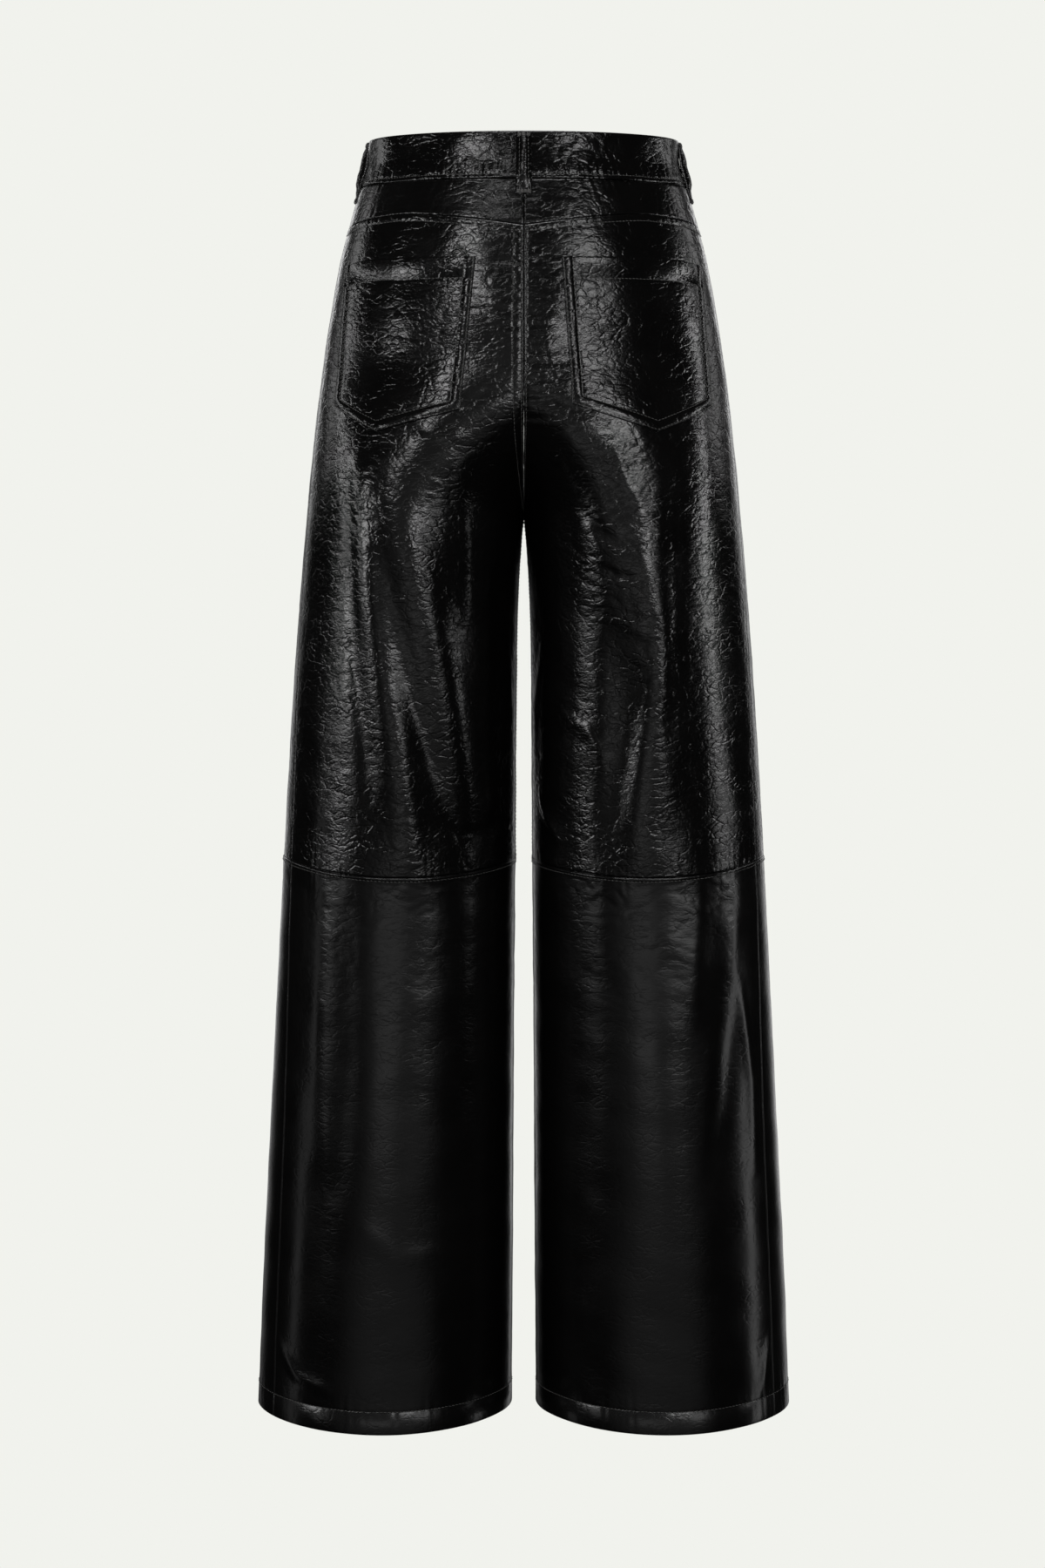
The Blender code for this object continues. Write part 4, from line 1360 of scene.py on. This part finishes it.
# The columns of half a loop, as shares of its half width.
LOOP_COLUMNS = (0.2, 0.45, 0.54, 0.66, 0.84, 0.93, 0.985, 1.0)
BARTACK_BARS = 6
BARTACK_HEIGHT = 0.0022
BARTACK_WIDE = 0.86
BARTACK_LIFT = 0.00018
BARTACK_STITCH = {"pitch": 0.0029, "length": 0.0033, "radius": 0.00024}


def loop_out(across, z):
    """How far a loop's leather stands out: arched across, with its long edges down on the cloth."""
    on_band = ease((z - WAIST_SEAM) / 0.004 + 0.5)
    edge = LOOP_EDGE_ON_YOKE + (LOOP_EDGE_ON_BAND - LOOP_EDGE_ON_YOKE) * on_band
    stand = loop_stand(z) - LOOP_FOOT_IN * (1 - on_band)
    arch = 1 - (2 * across / LOOP_WIDTH) ** 2
    return edge + LOOP_ARCH * np.maximum(stand - edge, 0.0) * arch


def make_loop(name, way):
    """A belt loop: folded strip with two sewn rows and a bartack at each end."""
    half = LOOP_WIDTH / 2
    across = np.array([-share for share in LOOP_COLUMNS[::-1]] + [0.0] + list(LOOP_COLUMNS)) * half
    z = np.linspace(LOOP_TOP, LOOP_FOOT, 46)[:, None]
    edge = np.clip(1 - (half - np.abs(across)) / LOOP_ROUND, 0, 1)
    swell = LOOP_LEATHER / 2 * np.sqrt(1 - 0.96 * edge ** 2)
    grooves = -LOOP_GROOVE * bell((np.abs(across) - (half - LOOP_ROW)) / LOOP_GROOVE_HALF)
    middle = loop_out(across, z)
    # The name's length varies the crinkle from loop to loop.
    crinkled = slow(LOOP_CRINKLE, len(name), way + across, z)
    outer = band_spot(way + across, z, middle + swell + grooves + crinkled)

    def inner_at(rows, columns):
        at = np.ix_(rows, columns)
        return band_spot((way + across + 0 * z)[at], (z + 0 * across)[at], (middle - swell)[at])

    finishes = leather_pair("leather_" + name, (0.2, 0.9, way), 0.27)
    piece = wall(name + "_skin", outer, inner_at, True, finishes, every=1)
    state_piece(piece, name)
    rows = Sewing()
    face = LOOP_LEATHER / 2
    line = np.linspace(LOOP_TOP - LOOP_ROW_MARGIN, LOOP_FOOT + LOOP_ROW_MARGIN, 90)
    for place in (-half + LOOP_ROW, half - LOOP_ROW):
        rows.on_band(way + place, line, loop_out(place, line) + face + THREAD_SINK - 0.0001)
    line = np.linspace(-half * BARTACK_WIDE, half * BARTACK_WIDE, 12)
    for tack in (LOOP_TOP - 0.0022, LOOP_FOOT + 0.0020):
        for k in range(BARTACK_BARS):
            height = tack + BARTACK_HEIGHT * (k / (BARTACK_BARS - 1) - 0.5)
            out = loop_out(line, height) + face + BARTACK_LIFT
            rows.on_band(way + line, height, out, **BARTACK_STITCH)
    rows.make("stitches_" + name, thread)


# -------- fly, zip and button
def fly_spot(place, z, out):
    """Points behind the centre front; place is how far to the wearer's right of it."""
    return turned(place - reach(z, False), z, out)


def fly_patch(node, left, right, top, foot, outside, thick, finishes, rounded=0.0):
    """A strip behind the centre front; rounded narrows its foot."""
    down = np.linspace(0, 1, 60)
    along = np.linspace(0, 1, 22)
    z = top + (foot - top) * down[:, None] + 0 * along
    end = right + (left - right) * rounded * ease((down - 0.6) / 0.4)
    place = left + (end[:, None] - left) * along
    outer = fly_spot(place, z, outside)

    def inner_at(rows, columns):
        at = np.ix_(rows, columns)
        return fly_spot(place[at], z[at], outside - thick)

    piece = wall(node + "_skin", outer, inner_at, True, finishes, every=1)
    width, length = right - left, top - foot
    state_piece(piece, node, width * length * (1 - 0.2 * rounded))


FLY_TOP = WAIST_SEAM - SEAM
FLY_FOOT = FLY_TOP - FACING_LENGTH
TAPE_FOOT = FLY_TOP - TAPE_LENGTH
FACING_OUT = -LEATHER / 2 - FLY_CLEARANCE
TAPE_OUT = FACING_OUT - LEATHER - SEAM
SHIELD_OUT = TAPE_OUT - SLIDER - SEAM
TOOTH_PITCH = 0.0021
TOOTH_LENGTH = TOOTH_PITCH * 0.42
TOOTH_REACH = 0.0030
TOOTH_THICK = SLIDER - TAPE - 2 * SEAM
TEETH_START = 0.002
TEETH_END = 0.012
TEETH_BEVEL = 0.00018
SLIDER_BEVEL = 0.00035
PLATE = SLIDER * 0.30
# The rows sewn round the facing: distances in, the first one's margin, and where its curve starts.
FLY_ROWS = (0.0, 0.0060)
FLY_ROW_IN = 0.004
FLY_ROW_UP = 0.012
FLY_CURVE = 0.72


def box_points(middle, axes, sizes):
    """Eight corners of a small block."""
    along, across, outward = (axis * size / 2 for axis, size in zip(axes, sizes))
    signs = (-1, 1)
    return [middle + along * i + across * j + outward * k for k in signs for j in signs for i in signs]


BOX_FACES = ((0, 2, 3, 1), (4, 5, 7, 6), (0, 1, 5, 4), (2, 6, 7, 3), (0, 4, 6, 2), (1, 3, 7, 5))


def make_blocks(name, blocks, finish, bevel):
    """Small metal blocks joined into one mesh, their edges bevelled."""
    points, faces = [], []
    for corners in blocks:
        faces += [tuple(v + len(points) for v in face) for face in BOX_FACES]
        points += [tuple(corner) for corner in corners]
    piece = make_mesh(name, points, faces, [finish], sharp=30)
    soften = piece.modifiers.new("edges", "BEVEL")
    soften.width = bevel
    soften.segments = 2
    return piece


def fly_axes(z, out):
    """A point of the zip's middle, and its directions: down the zip, across it and outwards."""
    here = fly_spot(0.0, z, out)
    down = fly_spot(0.0, z - 0.002, out) - here
    outward = fly_spot(0.0, z, out + 0.001) - here
    down /= np.linalg.norm(down)
    outward /= np.linalg.norm(outward)
    return here, (down, np.cross(down, outward), outward)


def make_zip():
    """The closed zip's teeth and its slider: two plates and the post that joins them."""
    teeth = []
    for k, z in enumerate(np.arange(TAPE_TOP - TEETH_START, TAPE_FOOT + TEETH_END, -TOOTH_PITCH / 2)):
        middle, axes = fly_axes(z, TAPE_OUT - TAPE - SEAM / 2 - TOOTH_THICK / 2)
        aside = axes[1] * TOOTH_REACH * (0.3 if k % 2 else -0.3)
        teeth.append(box_points(middle + aside, axes, (TOOTH_LENGTH, TOOTH_REACH, TOOTH_THICK)))
    make_blocks("zip_teeth", teeth, nickel, TEETH_BEVEL)
    middle, axes = fly_axes((SLIDER_TOP + TAPE_TOP) / 2, TAPE_OUT - SLIDER / 2)
    length = SLIDER_TOP - TAPE_TOP - 2 * SEAM
    apart = axes[2] * (SLIDER - PLATE) / 2
    plate = (length, SLIDER_HALF * 1.9, PLATE)
    post = (length * 0.3, SLIDER_HALF * 0.6, SLIDER * 0.6)
    parts = [box_points(middle - apart, axes, plate), box_points(middle + apart, axes, plate)]
    parts.append(box_points(middle - axes[0] * length * 0.32, axes, post))
    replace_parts(make_blocks("zip_slider_body", parts, nickel, SLIDER_BEVEL), "zip_slider")


def make_fly():
    """Facing behind the right front, closed zip behind it, and the shield behind the zip."""
    facing = leather_pair("leather_facing", (0.4, 0.5, 0.2), 0.32)
    shield = leather_pair("leather_shield", (0.1, 0.8, 0.5), 0.32)
    fly_patch("fly_facing", 0.0005, FACING_WIDTH, FLY_TOP, FLY_FOOT, FACING_OUT, LEATHER, facing, 0.7)
    fly_patch("zip_tape", -TAPE_HALF, TAPE_HALF, TAPE_TOP, TAPE_FOOT, TAPE_OUT, TAPE, [tape_weave])
    fly_patch("fly_shield", -SHIELD_PAST, SHIELD_WIDTH, FLY_TOP, FLY_FOOT, SHIELD_OUT, DOUBLE, shield, 0.5)
    make_zip()
    rows = Sewing()
    t = np.linspace(0, 1, 120)
    z = FLY_TOP - 0.002 - (FACING_LENGTH - FLY_ROW_UP) * t
    curve_in = np.clip((t - FLY_CURVE) / (1 - FLY_CURVE), 0, 1)
    edge = (FACING_WIDTH - FLY_ROW_IN) * np.sqrt(1 - curve_in ** 2)
    for inset in FLY_ROWS:
        place = np.maximum(edge - inset, 0.004)
        rows.on_cloth(1, place - reach(z, False), z, LEATHER / 2 + THREAD_SINK + 0.0002)
    rows.make("stitches_fly", thread)


BUTTON_SIDES = 56
# Share of the radius and of the height, from the seat round the rim to the middle of the face.
BUTTON_PROFILE = (
    (0.55, 0.00), (0.55, 0.24), (0.90, 0.30), (0.97, 0.40), (1.00, 0.56), (0.985, 0.74), (0.94, 0.88),
    (0.86, 0.97), (0.80, 0.98), (0.76, 0.93), (0.735, 0.84), (0.70, 0.80), (0.66, 0.82), (0.52, 0.87),
    (0.34, 0.91), (0.30, 0.88), (0.27, 0.88), (0.24, 0.92), (0.12, 0.94),
)


def make_button():
    """Plain round waist button with a raised rim and a ringed face."""
    seat = DOUBLE / 2 + (DOUBLE + SEAM) / 2 + SEAM
    root = fly_spot(0.0, BUTTON_AT, seat)
    axis = fly_spot(0.0, BUTTON_AT, seat + 0.001) - root
    axis /= np.linalg.norm(axis)
    across = np.cross(axis, (0.0, 0.0, 1.0))
    across /= np.linalg.norm(across)
    upright = np.cross(across, axis)
    turn = 2 * math.pi * np.arange(BUTTON_SIDES) / BUTTON_SIDES
    around = np.cos(turn)[:, None] * across + np.sin(turn)[:, None] * upright
    points = np.array([root + around * BUTTON_RADIUS * share + axis * BUTTON_HEIGHT * height
                       for share, height in BUTTON_PROFILE])
    rings = len(points)
    faces = []
    for k in range(rings - 1):
        for m in range(BUTTON_SIDES):
            a = k * BUTTON_SIDES + m
            b = k * BUTTON_SIDES + (m + 1) % BUTTON_SIDES
            faces.append((a, b, b + BUTTON_SIDES, a + BUTTON_SIDES))
    faces.append(tuple(range(BUTTON_SIDES))[::-1])
    faces.append(tuple(range((rings - 1) * BUTTON_SIDES, rings * BUTTON_SIDES)))
    piece = make_mesh("waist_button_turned", points, faces, [nickel], sharp=35)
    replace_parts(piece, "waist_button")


def sew_panels(side, word, panels):
    """Stitches of one leg's panels."""
    back = Sewing()
    upper = panels["back_upper"]
    face = LEATHER / 2 + THREAD_SINK
    back.on_cloth(side, *upper.across(SEWN_TOP.rows[0]), face + SEWN_TOP.lift)
    for distance in CENTRE_BACK[side].rows:
        u, z = upper.along(distance)
        back.on_cloth(side, u, z, face + CENTRE_BACK[side].lift)
    back.make("stitches_seat_" + word, thread)
    legs = Sewing()
    for kind in ("back_lower", "front_lower"):
        panel = panels[kind]
        legs.on_cloth(side, *panel.across(KNEE_TOP.rows[0]), face + KNEE_TOP.lift)
        legs.on_cloth(side, *panel.across(HEM_FOOT.rows[0], from_top=False), face + HEM_FOOT.lift)
    legs.make("stitches_leg_" + word, thread)
    front = Sewing()
    for distance in FLY_EDGE[side].rows:
        u, z = panels["front_upper"].along(distance, from_last=False)
        above = z > CROTCH + 0.012
        front.on_cloth(side, u[above], z[above], face + FLY_EDGE[side].lift)
    if front.parts:
        front.make("stitches_front_" + word, thread)


# -------- camera, light and floor
CAMERA_PLACE = (-0.0011, -3.294, -0.3199)
CAMERA_PITCH = math.radians(3.857)
CAMERA_LENS = 89.0
SENSOR = 36.0
BACKDROP = (0.8796, 0.8879, 0.8469)
UNSEEN = (0.006, 0.006, 0.006)
FLOOR = -1.60
FLOOR_HALF = 30.0

# Softboxes: azimuth from the camera's side, distance, height of the middle, width, length, how far
# its length leans from upright, and how bright its face is.
Softbox = namedtuple("Softbox", "name azimuth distance height width length lean glow")
SOFTBOXES = tuple(Softbox(*row) for row in (
    ("waist_left", -13, 2.4, 1.48, 0.85, 0.34, 0, 5.6),
    ("key_left", -28, 2.4, 0.62, 0.64, 1.00, -34, 8.4),
    ("key_right", 30, 2.4, 0.54, 0.84, 1.10, 0, 5.6),
    ("above", 0, 1.7, 1.95, 1.90, 0.60, 0, 3.2),
    ("thigh_left", -62, 2.4, -0.24, 0.90, 0.88, 0, 7.0),
    ("thigh_left_low", -54, 2.4, -0.86, 0.70, 0.42, 0, 0.7),
    ("thigh_right", 17, 2.4, -0.16, 0.90, 0.64, 0, 7.0),
    ("thigh_right_low", 30, 2.4, -0.64, 0.80, 0.55, 0, 2.2),
    ("knee", -8, 2.4, -0.96, 1.90, 0.46, 0, 0.55),
    ("fill", 0, 2.5, -0.90, 5.60, 4.40, 0, 0.14),
    ("edge_left", -92, 1.8, -0.12, 0.16, 2.60, 58, 5.4),
    ("edge_right", 91, 1.8, -0.16, 0.24, 1.95, -42, 6.4),
    ("strip_left", -122, 1.8, 0.35, 0.70, 1.10, 0, 0.9),
    ("strip_right", 122, 1.8, 0.35, 0.70, 1.10, 0, 1.1),
    ("shin_left", -86, 2.2, -1.20, 0.50, 1.80, 0, 0.35),
    ("shin_right", 88, 2.2, -1.10, 0.55, 1.70, 0, 1.3),
    ("far_left", -152, 2.6, -0.40, 1.40, 3.80, 0, 0.20),
    ("far_right", 152, 2.6, -0.80, 1.40, 4.20, 0, 0.40),
    ("front_left", -158, 2.5, 0.35, 0.80, 1.50, 0, 1.5),
    ("front_left_low", -160, 2.5, -0.90, 0.60, 1.30, 0, 0.6),
    ("front_right", 160, 2.5, 0.25, 0.80, 1.70, 0, 1.3),
    ("front_right_low", 158, 2.5, -1.00, 0.60, 1.40, 0, 0.6),
))
OVERHEAD = Softbox("overhead", 0, 0.4, 2.00, 1.70, 1.40, 0, 8.0)
# Share of a softbox's width or length over which its face fades out to each edge.
FADE = 0.38


def new_tree(owner):
    """An emptied node tree of a light, world or material."""
    owner.use_nodes = True
    owner.node_tree.nodes.clear()
    return owner.node_tree


def fade_face(light):
    """Make a softbox brightest in the middle of its face, fading out to its edges."""
    tree = new_tree(light)
    face = add_node(tree, "ShaderNodeNewGeometry")
    split = add_node(tree, "ShaderNodeSeparateXYZ")
    glow = add_node(tree, "ShaderNodeMath", operation="MULTIPLY")
    shine = add_node(tree, "ShaderNodeEmission")
    out = add_node(tree, "ShaderNodeOutputLight")
    tree.links.new(face.outputs["Parametric"], split.inputs[0])
    for k in (0, 1):
        edge = add_node(tree, "ShaderNodeMath", operation="PINGPONG")
        edge.inputs[1].default_value = 0.5
        fade = add_node(tree, "ShaderNodeMapRange", interpolation_type="SMOOTHSTEP")
        fade.inputs["From Max"].default_value = FADE
        tree.links.new(split.outputs[k], edge.inputs[0])
        tree.links.new(edge.outputs[0], fade.inputs["Value"])
        tree.links.new(fade.outputs["Result"], glow.inputs[k])
    tree.links.new(glow.outputs[0], shine.inputs["Strength"])
    tree.links.new(shine.outputs["Emission"], out.inputs["Surface"])


def add_softbox(box, aim):
    """An area light, aimed at a height of the garment's middle, that the camera doesn't see."""
    light = bpy.data.lights.new(box.name, "AREA")
    light.shape = "RECTANGLE"
    light.size = box.width
    light.size_y = box.length
    light.energy = box.glow * math.pi * box.width * box.length
    fade_face(light)
    lamp = bpy.data.objects.new(box.name, light)
    turn = math.radians(box.azimuth)
    lamp.location = (box.distance * math.sin(turn), -box.distance * math.cos(turn), box.height)
    towards = (Vector((0.0, 0.0, aim)) - lamp.location).to_track_quat("-Z", "Y")
    lamp.rotation_euler = (towards @ Quaternion((0.0, 0.0, 1.0), math.radians(box.lean))).to_euler()
    lamp.visible_camera = False
    bpy.context.scene.collection.objects.link(lamp)


def add_surround():
    """A pale surround that the camera sees, and almost no light from it."""
    world = bpy.data.worlds.new("studio")
    tree = new_tree(world)
    seen = add_node(tree, "ShaderNodeBackground", Color=(*BACKDROP, 1.0))
    unseen = add_node(tree, "ShaderNodeBackground", Color=(*UNSEEN, 1.0))
    ray = add_node(tree, "ShaderNodeLightPath")
    mix = add_node(tree, "ShaderNodeMixShader")
    out = add_node(tree, "ShaderNodeOutputWorld")
    tree.links.new(ray.outputs["Is Camera Ray"], mix.inputs["Fac"])
    tree.links.new(unseen.outputs["Background"], mix.inputs[1])
    tree.links.new(seen.outputs["Background"], mix.inputs[2])
    tree.links.new(mix.outputs["Shader"], out.inputs["Surface"])
    bpy.context.scene.world = world


def add_floor():
    """A plain pale floor well below the hems."""
    paint = bpy.data.materials.new("floor_paint")
    tree = new_tree(paint)
    glow = add_node(tree, "ShaderNodeEmission", Color=(*BACKDROP, 1.0))
    surface = add_node(tree, "ShaderNodeOutputMaterial")
    tree.links.new(glow.outputs["Emission"], surface.inputs["Surface"])
    mesh = bpy.data.meshes.new("floor")
    corners = [(x * FLOOR_HALF, y * FLOOR_HALF, FLOOR) for x, y in ((-1, -1), (1, -1), (1, 1), (-1, 1))]
    mesh.from_pydata(corners, [], [(0, 1, 2, 3)])
    mesh.materials.append(paint)
    floor = bpy.data.objects.new("floor", mesh)
    bpy.context.scene.collection.objects.link(floor)
    for kind in ("diffuse", "glossy", "transmission", "shadow"):
        setattr(floor, "visible_" + kind, False)


def add_studio():
    """Camera, softboxes, surround and floor."""
    camera = bpy.data.objects.new("camera", bpy.data.cameras.new("camera"))
    camera.data.lens = CAMERA_LENS
    camera.data.sensor_width = SENSOR
    camera.location = CAMERA_PLACE
    camera.rotation_euler = (math.pi / 2 - CAMERA_PITCH, 0.0, 0.0)
    bpy.context.scene.collection.objects.link(camera)
    bpy.context.scene.camera = camera
    for box in SOFTBOXES:
        add_softbox(box, box.height)
    add_softbox(OVERHEAD, HEM)
    add_surround()
    add_floor()
    bpy.context.scene.view_settings.view_transform = "Standard"
    bpy.context.scene.view_settings.look = "None"


for leg, leg_word in ((-1, "left"), (1, "right")):
    leg_panels = make_panels(leg, leg_word)
    make_pocket(leg, leg_word)
    sew_panels(leg, leg_word, leg_panels)
make_waistband()
for loop_name, loop_way in loop_ways().items():
    make_loop(loop_name, loop_way)
make_fly()
make_button()
add_studio()
